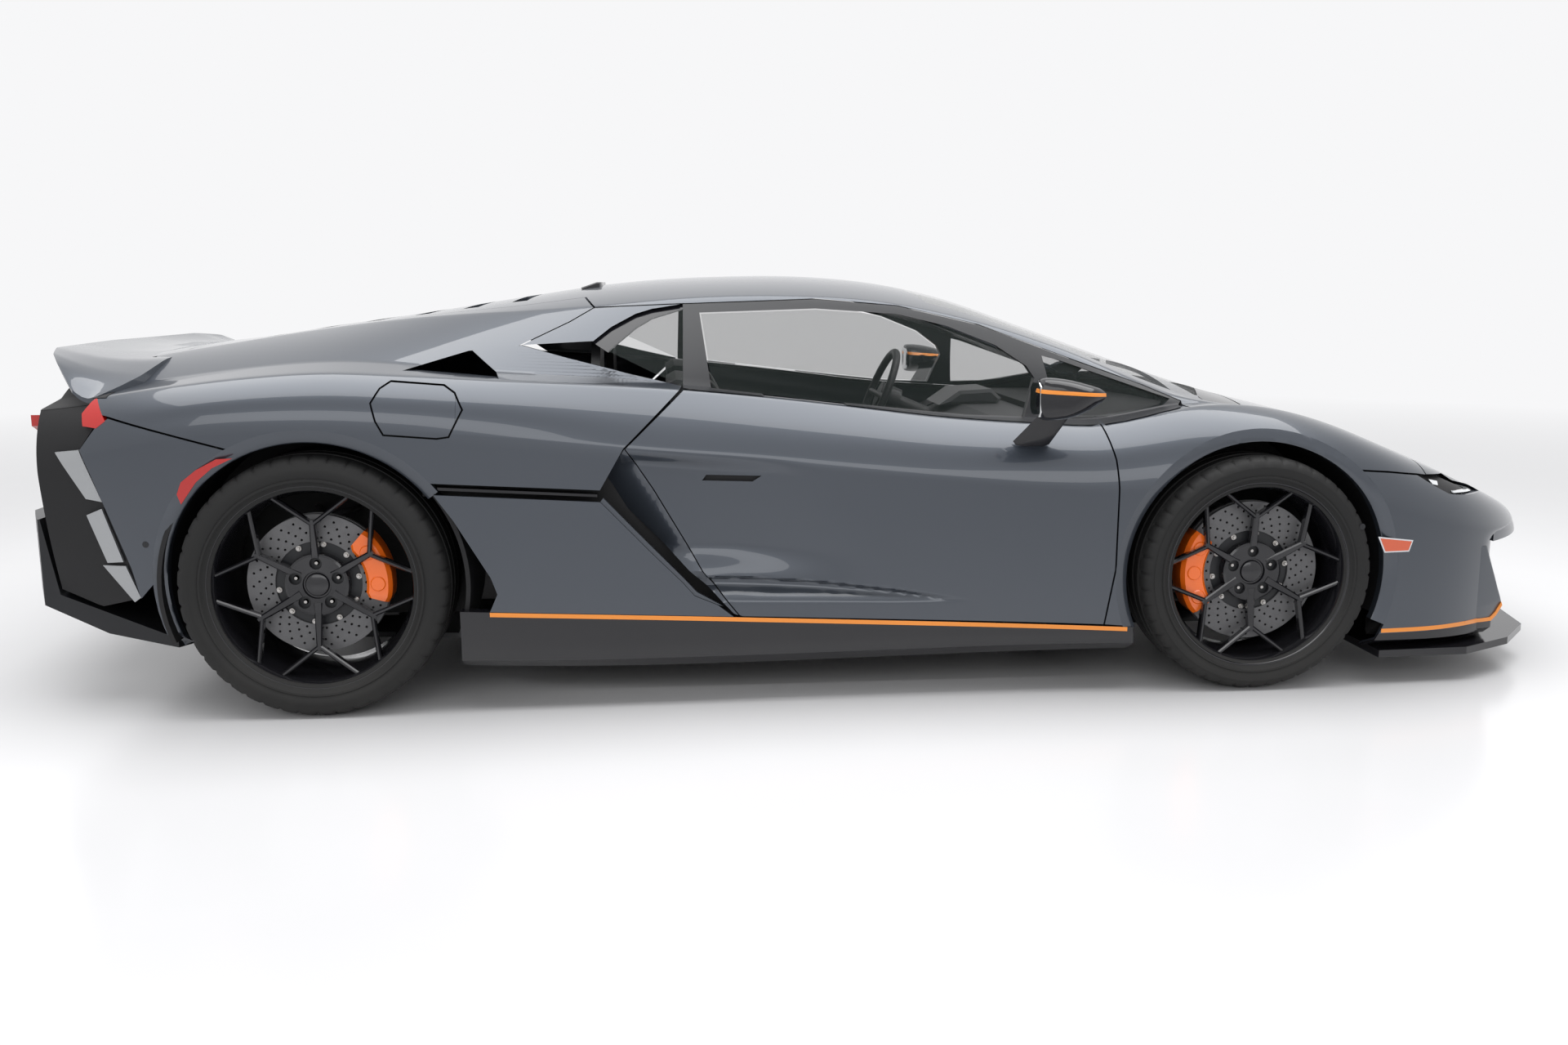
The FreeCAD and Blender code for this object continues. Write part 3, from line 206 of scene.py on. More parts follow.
def finish(name, dark, light, rough, grain=400.0, broad=6.0, contrast=0.6, bump=0.0, dust=0.0,
           metallic=0.0, coat=0.0, alpha=1.0, ior=1.5, glow=None, sheen=0.0):
    """A Principled material between two close colours, with grain, bump and dust."""
    material = bpy.data.materials.new(name)
    material.use_nodes = True
    tree = material.node_tree
    shader = tree.nodes["Principled BSDF"]
    for label, value in (("Metallic", metallic), ("Coat Weight", coat), ("Alpha", alpha),
                         ("Coat Roughness", COAT_ROUGH), ("IOR", ior), ("Sheen Weight", sheen)):
        shader.inputs[label].default_value = value
    grains = add_node(tree, "ShaderNodeGroup", node_tree=GRAIN)
    for label, value in (("Scale", grain), ("Broad", broad), ("Contrast", contrast)):
        grains.inputs[label].default_value = value
    film = add_node(tree, "ShaderNodeGroup", node_tree=DUST)
    film.inputs["Amount"].default_value = dust
    colour = add_node(tree, "ShaderNodeMix", [("A", (*dark, 1)), ("B", (*light, 1)),
                                              ("Factor", grains.outputs["Mask"])], data_type="RGBA")
    dusty = add_node(tree, "ShaderNodeMix", [("A", colour.outputs["Result"]), ("B", DUST_COLOUR),
                                             ("Factor", film.outputs["Mask"])], data_type="RGBA")
    tree.links.new(dusty.outputs["Result"], shader.inputs["Base Color"])
    ramp = add_node(tree, "ShaderNodeMapRange", [("To Min", rough[0]), ("To Max", rough[1]),
                                                 ("Value", grains.outputs["Mask"])])
    tree.links.new(ramp.outputs["Result"], shader.inputs["Roughness"])
    if bump:
        relief = add_node(tree, "ShaderNodeBump",
                          [("Strength", BUMP_STRENGTH), ("Distance", bump * MM),
                           ("Height", grains.outputs["Height"])])
        tree.links.new(relief.outputs["Normal"], shader.inputs["Normal"])
    if glow:
        shader.inputs["Emission Color"].default_value = (*glow[0], 1)
        shader.inputs["Emission Strength"].default_value = glow[1]
    return material


# %% Paint, glass, rubber and the rest
PAINT = finish("paint", (0.038, 0.046, 0.060), (0.049, 0.058, 0.073), (0.32, 0.38),
               grain=2600.0, broad=2.0, metallic=0.50, coat=0.8, dust=0.03)
GLOSS_BLACK = finish("gloss_black", (0.006, 0.006, 0.008), (0.010, 0.010, 0.013), (0.10, 0.18),
                     grain=900.0, dust=0.02)
RIM_BLACK = finish("rim_black", (0.007, 0.007, 0.009), (0.012, 0.012, 0.015), (0.14, 0.22),
                   grain=1200.0, metallic=0.2, coat=0.3, dust=0.03)
MATTE_BLACK = finish("matte_black", (0.007, 0.007, 0.008), (0.013, 0.013, 0.014), (0.50, 0.68),
                     grain=900.0, bump=0.10, dust=0.05, ior=1.38)
SATIN_DARK = finish("satin_dark", (0.010, 0.011, 0.013), (0.018, 0.019, 0.022), (0.32, 0.42),
                    grain=1500.0, bump=0.02, dust=0.03, ior=1.4)
RUBBER = finish("tyre_rubber", (0.009, 0.009, 0.009), (0.017, 0.017, 0.017), (0.58, 0.76),
                grain=700.0, broad=14.0, bump=0.15, dust=0.06, ior=1.36)
GLASS = finish("tinted_glass", (0.030, 0.038, 0.036), (0.040, 0.048, 0.046), (0.10, 0.14),
               grain=4.0, contrast=0.4, alpha=0.18, ior=1.15)
TRIM_SILVER = finish("trim_silver", (0.30, 0.31, 0.32), (0.36, 0.37, 0.38), (0.30, 0.38),
                     grain=1600.0, metallic=0.3, coat=0.6)
DISC_GREY = finish("brake_disc", (0.085, 0.085, 0.088), (0.16, 0.16, 0.165), (0.38, 0.55),
                   grain=320.0, broad=40.0, metallic=0.35, contrast=1.2)
ORANGE = finish("caliper_orange", (0.80, 0.125, 0.004), (0.92, 0.165, 0.008), (0.26, 0.34),
                grain=500.0, coat=0.7, dust=0.04)
LINE_AMBER = finish("line_amber", (0.78, 0.235, 0.012), (0.88, 0.285, 0.018), (0.30, 0.38),
                    grain=500.0, coat=0.5, dust=0.02)
STEEL = finish("exhaust_steel", (0.34, 0.33, 0.32), (0.52, 0.50, 0.48), (0.22, 0.38),
               grain=300.0, broad=20.0, metallic=1.0)
CAST = finish("suspension_metal", (0.10, 0.10, 0.105), (0.19, 0.19, 0.195), (0.42, 0.60),
              grain=260.0, metallic=0.6, bump=0.2, dust=0.4)
LEATHER = finish("cabin_leather", (0.016, 0.016, 0.018), (0.026, 0.026, 0.029), (0.44, 0.58),
                 grain=520.0, bump=0.35, sheen=0.1)
SUEDE = finish("cabin_suede", (0.018, 0.018, 0.020), (0.034, 0.034, 0.037), (0.80, 0.92),
               grain=900.0, bump=0.2, sheen=0.4)
RED_LAMP = finish("lamp_red", (0.36, 0.006, 0.004), (0.46, 0.010, 0.007), (0.16, 0.22),
                  grain=200.0, coat=0.5, glow=((0.8, 0.02, 0.01), 0.03))
AMBER_LAMP = finish("lamp_amber", (0.58, 0.085, 0.03), (0.68, 0.12, 0.045), (0.16, 0.22),
                    grain=200.0, coat=0.5)
MIRROR_GLASS = finish("mirror_glass", (0.72, 0.73, 0.74), (0.78, 0.79, 0.80), (0.02, 0.05),
                      grain=90.0, metallic=1.0)
CLEAR_LAMP = finish("lamp_clear", (0.62, 0.64, 0.66), (0.72, 0.74, 0.76), (0.04, 0.08),
                    grain=80.0, coat=1.0)
FLOOR_TONE = finish("floor", (0.70, 0.70, 0.71), (0.74, 0.74, 0.75), (0.16, 0.24),
                    grain=3.0, broad=0.5)
print("finishes:", len(bpy.data.materials))


# %% [markdown]
# The studio shows no edge between floor and wall. A plane that simply ended would draw a horizon,
# so the floor fades into the colour of the room a few metres out.

# %% Floor
FLOOR_REACH = 60.0
FADE_START, FADE_END = 4.0, 11.0


def make_floor():
    """A wide plane whose far reaches are as bright as the room behind it."""
    mesh = bpy.data.meshes.new("floor")
    signs = ((-1, -1), (1, -1), (1, 1), (-1, 1))
    corners = [(x * FLOOR_REACH, y * FLOOR_REACH, 0) for x, y in signs]
    mesh.from_pydata(corners, [], [(0, 1, 2, 3)])
    floor = bpy.data.objects.new("floor", mesh)
    SCENE.collection.objects.link(floor)
    tree = FLOOR_TONE.node_tree
    place = add_node(tree, "ShaderNodeTexCoord").outputs["Object"]
    far = add_node(tree, "ShaderNodeVectorMath", [(0, place)], operation="LENGTH")
    fade = add_node(tree, "ShaderNodeMapRange", [("From Min", FADE_START), ("From Max", FADE_END),
                                                 ("Value", far.outputs["Value"])])
    seen = calculate(tree, "MULTIPLY", seen_ray(tree), fade.outputs["Result"])
    plain = add_node(tree, "ShaderNodeEmission", [(0, BACKDROP)])
    mix = add_node(tree, "ShaderNodeMixShader", [(0, seen), (2, plain.outputs[0]),
                                                 (1, tree.nodes["Principled BSDF"].outputs[0])])
    tree.links.new(mix.outputs[0], tree.nodes["Material Output"].inputs[0])
    mesh.materials.append(FLOOR_TONE)


make_floor()
print("floor laid")

# %% [markdown]
# ## The body's lines
# A car body is drawn as a few long lines, each with a plan view (x, y) and a side view (x, z):
# the floor's edge, the sill, the flank's widest line, the shoulder crest, the shelf below the
# glass, the roof rail and the middle of the roof. Sections run across them. The lines are
# smoothed along the car and the corners of each section are softened, so that reflections flow.

# %% Long lines
LINES = {
    "floor": ([(-2120, 700), (-1850, 820), (-1000, 900), (900, 900), (1700, 890), (2000, 800),
               (2200, 660), (2353, 330)],
              [(-2120, 300), (-1850, 210), (-1500, 140), (-1000, 118), (900, 118), (1650, 108),
               (2353, 100)]),
    "sill": ([(-2120, 820), (-1850, 905), (-1390, 975), (-1000, 978), (-300, 962), (800, 957),
              (1000, 966), (1268, 972), (1650, 965), (1850, 935), (2000, 870), (2120, 785),
              (2220, 680), (2300, 540), (2353, 380)],
             [(-2120, 330), (-1850, 240), (-1500, 175), (-1000, 152), (900, 148), (1650, 138),
              (2353, 118)]),
    "flank": ([(-2120, 905), (-1900, 955), (-1650, 986), (-1390, 998), (-1100, 993), (-700, 972),
               (-300, 958), (200, 952), (700, 955), (1000, 972), (1268, 986), (1550, 980),
               (1780, 950), (1950, 893), (2080, 815), (2190, 715), (2280, 590), (2353, 420)],
              [(-2120, 680), (-1900, 740), (-1700, 775), (-1390, 790), (-1100, 782), (-794, 759),
               (-541, 735), (-128, 697), (99, 670), (422, 634), (703, 604), (900, 592), (1268, 620),
               (1550, 580), (1800, 500), (2353, 380)]),
    "crest": ([(-2120, 840), (-1990, 868), (-1700, 900), (-1350, 905), (-900, 886), (-400, 852),
               (100, 836), (650, 840), (850, 852), (1063, 838), (1268, 816), (1500, 800),
               (1750, 775), (1950, 735), (2100, 668), (2230, 565), (2353, 385)],
              [(-2120, 860), (-1990, 875), (-1827, 898), (-1567, 930), (-1350, 942), (-1143, 933),
               (-867, 915), (-598, 898), (-377, 882), (-120, 856), (112, 828), (347, 798),
               (656, 774), (820, 766), (944, 786), (1063, 812), (1200, 824), (1350, 810),
               (1500, 772), (1687, 700), (1850, 632), (2000, 572), (2150, 510), (2353, 425)]),
    "shelf": ([(-2120, 700), (-1700, 742), (-1350, 762), (-900, 765), (-500, 772), (-300, 776),
               (200, 768), (650, 778), (900, 786), (1063, 770), (1268, 730), (1500, 708),
               (1750, 690), (1950, 652), (2100, 592), (2230, 495), (2353, 330)],
              [(-2120, 880), (-1990, 893), (-1700, 935), (-1350, 965), (-900, 932), (-500, 906),
               (-377, 893), (-120, 867), (112, 840), (347, 810), (656, 786), (820, 782), (944, 800),
               (1063, 818), (1200, 818), (1350, 798), (1500, 757), (1687, 690), (1850, 628),
               (2000, 571), (2150, 512), (2353, 428)]),
    "rail": ([(-2120, 520), (-1900, 500), (-1700, 470), (-1463, 450), (-1216, 460), (-1000, 490),
              (-832, 520), (-600, 560), (-342, 575), (-78, 580), (215, 590), (512, 620), (765, 664),
              (1024, 712), (1186, 700), (1350, 672), (1550, 642), (1750, 612), (1950, 574),
              (2100, 516), (2230, 425), (2353, 270)],
             [(-2120, 935), (-1900, 975), (-1700, 1008), (-1463, 1044), (-1216, 1074),
              (-1000, 1090), (-832, 1098), (-617, 1112), (-342, 1134), (-78, 1138), (215, 1120),
              (512, 1058), (765, 975), (1024, 868), (1186, 818), (1350, 795), (1550, 748),
              (1750, 682), (1950, 605), (2150, 522), (2353, 434)]),
    "top": ([(-2120, 0), (2353, 0)],
            [(-2120, 950), (-1952, 984), (-1709, 1012), (-1463, 1050), (-1216, 1084), (-867, 1138),
             (-620, 1174), (-463, 1189), (-209, 1200), (-55, 1201), (100, 1194), (255, 1178),
             (465, 1134), (706, 1050), (978, 952), (1254, 856), (1339, 828), (1450, 800),
             (1619, 758), (1790, 705), (1964, 642), (2110, 584), (2261, 510), (2353, 448)]),
}
TAIL, NOSE, STEP = -2120.0, 2353.0, 4.0
FINE = np.arange(TAIL, NOSE + 0.1, STEP)


def smooth_line(points, blur=32.0):
    """Values on FINE of a line through (x, value) points, blurred along the car."""
    x, v = np.array(points, float).T
    slope = np.gradient(v, x)
    i = np.clip(np.searchsorted(x, FINE, side="right") - 1, 0, len(x) - 2)
    run = x[i + 1] - x[i]
    t = (FINE - x[i]) / run
    curve = ((2 * t**3 - 3 * t**2 + 1) * v[i] + (t**3 - 2 * t**2 + t) * run * slope[i]
             + (3 * t**2 - 2 * t**3) * v[i + 1] + (t**3 - t**2) * run * slope[i + 1])
    pad = int(4 * blur / STEP)
    before = 2 * curve[0] - curve[pad:0:-1]
    after = 2 * curve[-1] - curve[-2:-pad - 2:-1]
    weight = np.exp(-0.5 * (np.arange(-pad, pad + 1) * STEP / blur) ** 2)
    full = np.convolve(np.concatenate([before, curve, after]), weight / weight.sum(), "same")
    return full[pad:-pad]


SMOOTH = {name: (smooth_line(plan), smooth_line(side)) for name, (plan, side) in LINES.items()}
FULLNESS = smooth_line([(-2120, 0.70), (-1500, 0.74), (-900, 0.66), (-541, 0.50), (-100, 0.52),
                        (400, 0.60), (900, 0.68), (1268, 0.76), (2000, 0.74), (2353, 0.7)])


def line(name, x):
    """Half width and height of a long line."""
    plan, side = SMOOTH[name]
    return np.array([np.interp(x, FINE, plan), np.interp(x, FINE, side)])


print("lines:", ", ".join(LINES))

# %% [markdown]
# A section crosses the seven lines at one place along the car. Straight and curved stretches join
# them, the roof is a crowned arc, and a blur along the section rounds every corner by its own
# radius. Many sections side by side give the grid that all panels are taken from.

# %% Cross sections
COUNTS = (6, 26, 26, 10, 24, 34)
CORNERS = {"floor": 8.0, "sill": 7.0, "flank": 11.0, "crest": 7.0, "shelf": 5.0, "rail": 9.0}
ARC_BLUR, CORNER_SPREAD = 1.5, 3.5
CROWN_SHARE, CROWN_RISE = 0.55**2, 0.76
BELLY = 0.62


def curve_through(a, b, c, count):
    """Smooth curve through three points, without its first point."""
    first, second = np.hypot(*(b - a)), np.hypot(*(c - b))
    middle = first / (first + second)
    handle = (b - (1 - middle) ** 2 * a - middle**2 * c) / (2 * middle * (1 - middle))
    t = np.linspace(0, 1, count + 1)[1:, None]
    return (1 - t) ** 2 * a + 2 * t * (1 - t) * handle + t**2 * c


def straight(a, b, count):
    """Points on a straight line, without its first point."""
    t = np.linspace(0, 1, count + 1)[1:, None]
    return (1 - t) * a + t * b


def roof_curve(rail, top, count):
    """Crowned roof from the rail to the middle of the car."""
    y = rail[0] * np.cos(np.linspace(0, math.pi / 2, count + 1)[1:])
    y[-1] = 0.0
    share = (y / rail[0]) ** 2
    drop = rail[1] - top
    quartic = (drop - (1 - CROWN_RISE) * drop / CROWN_SHARE) / (1 - CROWN_SHARE)
    return np.stack([y, top + (drop - quartic) * share + quartic * share**2], 1)


def soften(points, counts):
    """The section with its corners rounded by a blur that is widest at each corner."""
    run = np.hypot(*np.diff(points, axis=0).T)
    arc = np.concatenate([[0], np.cumsum(run)])
    blur = np.full(len(points), ARC_BLUR)
    for name, i in zip(CORNERS, np.cumsum((0,) + counts)):
        wide = CORNERS[name]
        near = np.exp(-0.5 * ((arc - arc[i]) / (CORNER_SPREAD * wide)) ** 2)
        blur = np.maximum(blur, wide * near)
    share = np.gradient(arc)
    both = np.concatenate([points, points[-2::-1] * [-1, 1]])
    arcs = np.concatenate([arc, 2 * arc[-1] - arc[-2::-1]])
    shares = np.concatenate([share, share[-2::-1]])
    weight = shares * np.exp(-0.5 * ((arc[:, None] - arcs) / blur[:, None]) ** 2)
    soft = (weight @ both) / weight.sum(1, keepdims=True)
    soft[0] = points[0]
    soft[-1, 0] = 0.0
    return soft


def section(x, dense=1):
    """Half section (y, z) from the floor's edge to the middle of the roof."""
    floor, sill, flank, crest, shelf, rail, top = (line(name, x) for name in LINES)
    full = np.interp(x, FINE, FULLNESS)
    low = np.array([sill[0] + BELLY * (flank[0] - sill[0]), (sill[1] + flank[1]) / 2])
    high = np.array([crest[0] + full * (flank[0] - crest[0]),
                     flank[1] + BELLY * (crest[1] - flank[1])])
    pane = (shelf + rail) / 2 + [10, 5]
    counts = tuple(c * dense for c in COUNTS)
    parts = [floor[None], straight(floor, sill, counts[0]),
             curve_through(sill, low, flank, counts[1]),
             curve_through(flank, high, crest, counts[2]), straight(crest, shelf, counts[3]),
             curve_through(shelf, pane, rail, counts[4]), roof_curve(rail, top[1], counts[5])]
    return soften(np.concatenate(parts), counts)


def body_grid(first, last, step=12.0, dense=1):
    """Grid of points on the left half of the body, between two places along it."""
    xs = np.linspace(first, last, int(round((last - first) / step)) + 1)
    grid = np.zeros((len(xs), sum(COUNTS) * dense + 1, 3))
    for i, x in enumerate(xs):
        grid[i, :, 0] = x
        grid[i, :, 1:] = section(x, dense)
    return grid


print("points on a half section:", sum(COUNTS) + 1)

# %% [markdown]
# ## From surface to panel
# A panel is a sheet of the body surface with a real thickness. The grid is copied inwards along
# its normals and the two skins are joined round their border, which makes a closed solid. An
# outline seen from the side, from above or from the front is then pushed through it like a
# pastry cutter: a boolean keeps what is inside, so neighbours share exactly the same surface
# and the shut line between them is only as wide as the gap asked for.


# %% Mesh helpers
def grid_normals(grid):
    """Unit normals of a grid, pointing away from the car's middle."""
    normal = np.cross(np.gradient(grid, axis=1), np.gradient(grid, axis=0))
    return normal / np.maximum(np.linalg.norm(normal, axis=2, keepdims=True), 1e-9)


def grid_faces(rows, columns, start=0, flip=False):
    """Four-sided faces between the points of a grid."""
    i, j = np.meshgrid(np.arange(rows - 1), np.arange(columns - 1), indexing="ij")
    a = (start + i * columns + j).ravel()
    faces = np.stack([a, a + columns, a + columns + 1, a + 1], 1)
    return faces[:, ::-1] if flip else faces


def new_mesh(points, faces):
    """A Blender mesh in metres from points in millimetres."""
    mesh = bpy.data.meshes.new("work")
    places = (np.asarray(points, float) * MM).tolist()
    mesh.from_pydata(places, [], [list(map(int, face)) for face in faces])
    mesh.update()
    return mesh


def sheet_between(outer, inner):
    """A closed solid between two grids of the same size."""
    rows, columns = outer.shape[:2]
    count = rows * columns
    points = np.concatenate([outer.reshape(-1, 3), inner.reshape(-1, 3)])
    faces = [grid_faces(rows, columns), grid_faces(rows, columns, count, flip=True)]
    ring = ([(0, j) for j in range(columns)] + [(i, columns - 1) for i in range(1, rows)]
            + [(rows - 1, j) for j in range(columns - 2, -1, -1)]
            + [(i, 0) for i in range(rows - 2, 0, -1)])
    ring = np.array([i * columns + j for i, j in ring])
    following = np.roll(ring, -1)
    faces.append(np.stack([ring, following, following + count, ring + count], 1))
    return outward(new_mesh(points, np.concatenate(faces)))


def thick_sheet(outer, thickness):
    """A closed solid from a grid of points and its copy moved inwards."""
    return sheet_between(outer, outer - grid_normals(outer) * thickness)


def outward(mesh):
    """The mesh with its faces turned outwards, by the sign of its volume."""
    mesh.calc_loop_triangles()
    v = np.array([p.co for p in mesh.vertices])
    t = np.array([f.vertices for f in mesh.loop_triangles])
    volume = np.einsum("ij,ij->i", v[t[:, 0]], np.cross(v[t[:, 1]], v[t[:, 2]])).sum()
    if volume < 0:
        mesh.flip_normals()
    return mesh


print("grids can become solids")


# %% Cutters and copies
def prism(outline, view, low, high):
    """A closed outline carried along the direction that it is seen from."""
    outline = np.array(outline, float)
    count = len(outline)
    points = np.zeros((2 * count, 3))
    axes = {"side": (0, 2, 1), "plan": (0, 1, 2), "front": (1, 2, 0)}[view]
    for k, depth in enumerate((low, high)):
        rows = slice(k * count, (k + 1) * count)
        points[rows, axes[0]], points[rows, axes[1]] = outline.T
        points[rows, axes[2]] = depth
    ring = list(range(count))
    faces = [ring[::-1], [k + count for k in ring]]
    faces += [[k, (k + 1) % count, (k + 1) % count + count, k + count] for k in ring]
    return outward(new_mesh(points, faces))


def combine(base, tool, operation):
    """Boolean of two closed meshes: INTERSECT, DIFFERENCE or UNION."""
    holders = [bpy.data.objects.new("work", mesh) for mesh in (base, tool)]
    for holder in holders:
        SCENE.collection.objects.link(holder)
    step = holders[0].modifiers.new("cut", "BOOLEAN")
    step.operation, step.solver, step.object = operation, "MANIFOLD", holders[1]
    graph = bpy.context.evaluated_depsgraph_get()
    result = bpy.data.meshes.new_from_object(holders[0].evaluated_get(graph))
    if not result.vertices:
        print("nothing left of", operation)
    for holder in holders:
        bpy.data.objects.remove(holder)
    return result


def joined(meshes):
    """One mesh from several, in order."""
    points, faces, start = [], [], 0
    for mesh in meshes:
        points += [tuple(v.co / MM) for v in mesh.vertices]
        faces += [[i + start for i in p.vertices] for p in mesh.polygons]
        start = len(points)
    return new_mesh(points, faces)


def mirrored(mesh):
    """The same mesh on the other side of the car."""
    copy = mesh.copy()
    for vertex in copy.vertices:
        vertex.co.y = -vertex.co.y
    copy.flip_normals()
    copy.update()
    return copy


print("cutters ready")


def add_piece(name, mesh, material, body="body", stands_for=(), angle=32):
    """A finished piece: shaded by angle, in its material, on its body, in place of CAD nodes."""
    mesh.name = name
    mesh.materials.clear()
    mesh.materials.append(material)
    mesh.shade_smooth()
    mesh.set_sharp_from_angle(angle=math.radians(angle))
    piece = bpy.data.objects.new(name, mesh)
    SCENE.collection.objects.link(piece)
    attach(piece, body)
    if stands_for:
        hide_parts(*stands_for)
    return piece


def both_sides(name, mesh, material, body="body", stands_for="", angle=32, left_for=""):
    """A left piece and its mirror image.

    A body's or node's name gets its side added, and left_for is a node that both make up.
    """
    for side, shape in (("left", mesh), ("right", mirrored(mesh))):
        nodes = [stands_for + "_" + side] if stands_for else []
        if left_for and side == "left":
            nodes = [left_for]
        rides = body if body == "body" else body + "_" + side
        add_piece("%s_%s" % (name, side), shape, material, rides, nodes, angle)


print("helpers ready")

# %% [markdown]
# ## Cutting the body into panels
# Each outline below is a shut line as it is seen on the car. A helper takes the stretch of body
# surface that the outline covers, gives it a thickness, cuts it to the outline less half the
# shut gap, and takes away the wheel arches, lamp slits and windows that cross it.

# %% Outlines seen from the side (x, z)
FRONT_HUB = (1268.0, 343.25)
REAR_HUB = (-1390.0, 364.2)
FRONT_ARCH, REAR_ARCH = 383.0, 398.0
LIP = 36.0
SHUT = 5.0
WALL = 12.0
OUTSIDE = 1400


def stripe_height(x):
    """Height of the coloured line along the sill."""
    return 197.0 + (890.0 - x) * 0.04975


def along(name, first, last, lift):
    """Points (x, z) of a long line between two places, about 60 mm apart."""
    count = max(2, int(abs(last - first) / 60) + 1)
    return [(x, line(name, x)[1] + lift) for x in np.linspace(first, last, count)]


def circle(centre, radius, count=96):
    """A circle as an outline."""
    turn = np.linspace(0, 2 * math.pi, count, endpoint=False)
    return [(centre[0] + radius * math.cos(a), centre[1] + radius * math.sin(a)) for a in turn]


def shrink(outline, gap):
    """An outline with every edge moved inwards by the gap, or outwards by a negative one."""
    points = np.array(outline, float)
    before, after = points - np.roll(points, 1, 0), np.roll(points, -1, 0) - points
    area = np.cross(points, np.roll(points, -1, 0)).sum()
    turn = 1.0 if area > 0 else -1.0
    n0, n1 = (np.stack([-v[:, 1], v[:, 0]], 1) * turn / np.linalg.norm(v, axis=1, keepdims=True)
              for v in (before, after))
    return points + gap * (n0 + n1) / (1 + (n0 * n1).sum(1, keepdims=True))


DOOR_REAR = [(-377, 884), (-542, 732), (-465, 614), (-332, 383), (-231, 256)]
DOOR_FRONT = [(820, 203), (848, 366), (850, 602), (845, 680), (826, 774)]
DOOR = DOOR_REAR + [(-222, stripe_height(-222))] + DOOR_FRONT + along("crest", 800, -340, lift=2)
QUARTER_EDGE = [(-610, 587), (-534, 506), (-468, 436), (-389, 356), (-355, 316), (-290, 288)]
TAIL_SEAM = [(-1531, 731), (-1752, 791), (-1905, 831)]
BLADE = [(-838, 1003), (-701, 1067), (-631, 1107), (-371, 1117), (-462, 1103), (-510, 1089),
         (-581, 1052), (-632, 1013)]
SHELF_PANEL = [(-976, 990), (-838, 1003), (-697, 966), (-579, 937), (-390, 886), (-883, 918)]
EAR_HOLE = [(-1147, 943), (-987, 989), (-976, 990), (-883, 918)]
SLASH = [(-632, 1013), (-581, 1052), (-510, 1089), (-462, 1103), (-371, 1117), (-364, 1106),
         (-462, 1077), (-510, 1050), (-589, 986)]
REAR_PANE = [(-589, 986), (-510, 1050), (-462, 1077), (-364, 1106), (-340, 892), (-380, 889)]
ROOF_LINE = [(-359, 1117), (23, 1129), (268, 1108), (511, 1051), (749, 961), (987, 874),
             (1093, 828)]
WINDOW = [(-323, 1092), (21, 1102), (265, 1085), (410, 1050), (553, 993), (639, 933), (659, 898),
          (617, 786), (449, 794), (-2, 843), (-296, 880)]
FRONT_PANE = [(690, 962), (736, 950), (1060, 836), (1035, 818), (915, 797), (839, 788), (712, 787)]
GLASS_HOUSE = ROOF_LINE + along("crest", 1080, -330, lift=2) + [(-377, 886), (-371, 1117)]
FLAP = [(-1211, 865), (-1190, 902), (-1164, 920), (-1024, 908), (-994, 888), (-972, 844),
        (-1008, 773), (-1040, 769), (-1178, 781), (-1198, 818)]
NOSE_SEAM = [(1517, 645), (1650, 633), (1760, 619), (1800, 612)]
HEAD_LAMP = [(1754, 620), (1898, 606), (2000, 582), (2056, 541), (1927, 549), (1871, 557),
             (1818, 583)]

print("side outlines; points round the door:", len(DOOR))

# %% Outlines seen from above (x, y)
WINDSCREEN = [(345, 0), (350, 300), (375, 500), (560, 548), (800, 600), (1010, 655), (1120, 668),
              (1200, 610), (1290, 350), (1330, 0)]
LID = ([(1390, 0), (1375, 350), (1330, 662)]
       + [(x, line("rail", x)[0]) for x in (*range(1420, 2080, 60), 2080)]
       + [(2150, 300), (2175, 0)])
ENGINE_LID = [(-625, 0), (-625, 430), (-900, 430), (-1250, 400), (-1600, 400), (-1845, 440),
              (-1845, 0)]


def whole(half):
    """A full-width outline from its left half."""
    return list(half) + [(x, -y) for x, y in reversed(half) if y > 0]


def from_side(outline, low=600, high=OUTSIDE):
    """A cutter seen from the left side, from a depth outwards."""
    return outline, "side", low, high


def from_above(outline, low=600):
    """A cutter seen from above, from a height upwards."""
    return outline, "plan", low, OUTSIDE


def through(outline):
    """A cutter seen from the side that goes through the whole car."""
    return outline, "side", -OUTSIDE, OUTSIDE


print("top outlines; points round the front lid:", len(whole(LID)))

# %% [markdown]
# The body's surface isn't plain between its lines. Between waist and sill the door sinks
# towards its rear edge and leads air into the intake; a long pod is scooped out low on the
# door; and below the nose the skin steps back over the intakes. Each is a smooth function of
# the place on the side, added to the grid before it becomes a panel.


# %% Hollows in the side
def ease(low, high, value):
    """0 below low, 1 above high and a smooth rise between them."""
    t = np.clip((value - low) / (high - low), 0, 1)
    return t * t * (3 - 2 * t)


WAIST = ([-900, -541, -330, -128, 99, 422, 562, 703, 847],
         [745, 733, 714, 699, 668, 631, 615, 600, 590])
SCOOP_TOP = ([-420, -389, -241, -10, 223, 435, 470], [371, 370, 371, 352, 321, 286, 280])
SCOOP_LOW = ([-420, -355, -241, 224, 435, 470], [306, 304, 292, 280, 278, 278])
HOLLOW_DEPTH, DUCT_SLOPE = 30, 0.62
SCOOP_EDGE = 13
NOSE_SETBACK = 150
SLICE = 8
DOOR_EDGE = ([252, 383, 614, 732, 800], [-230, -332, -465, -542, -590])


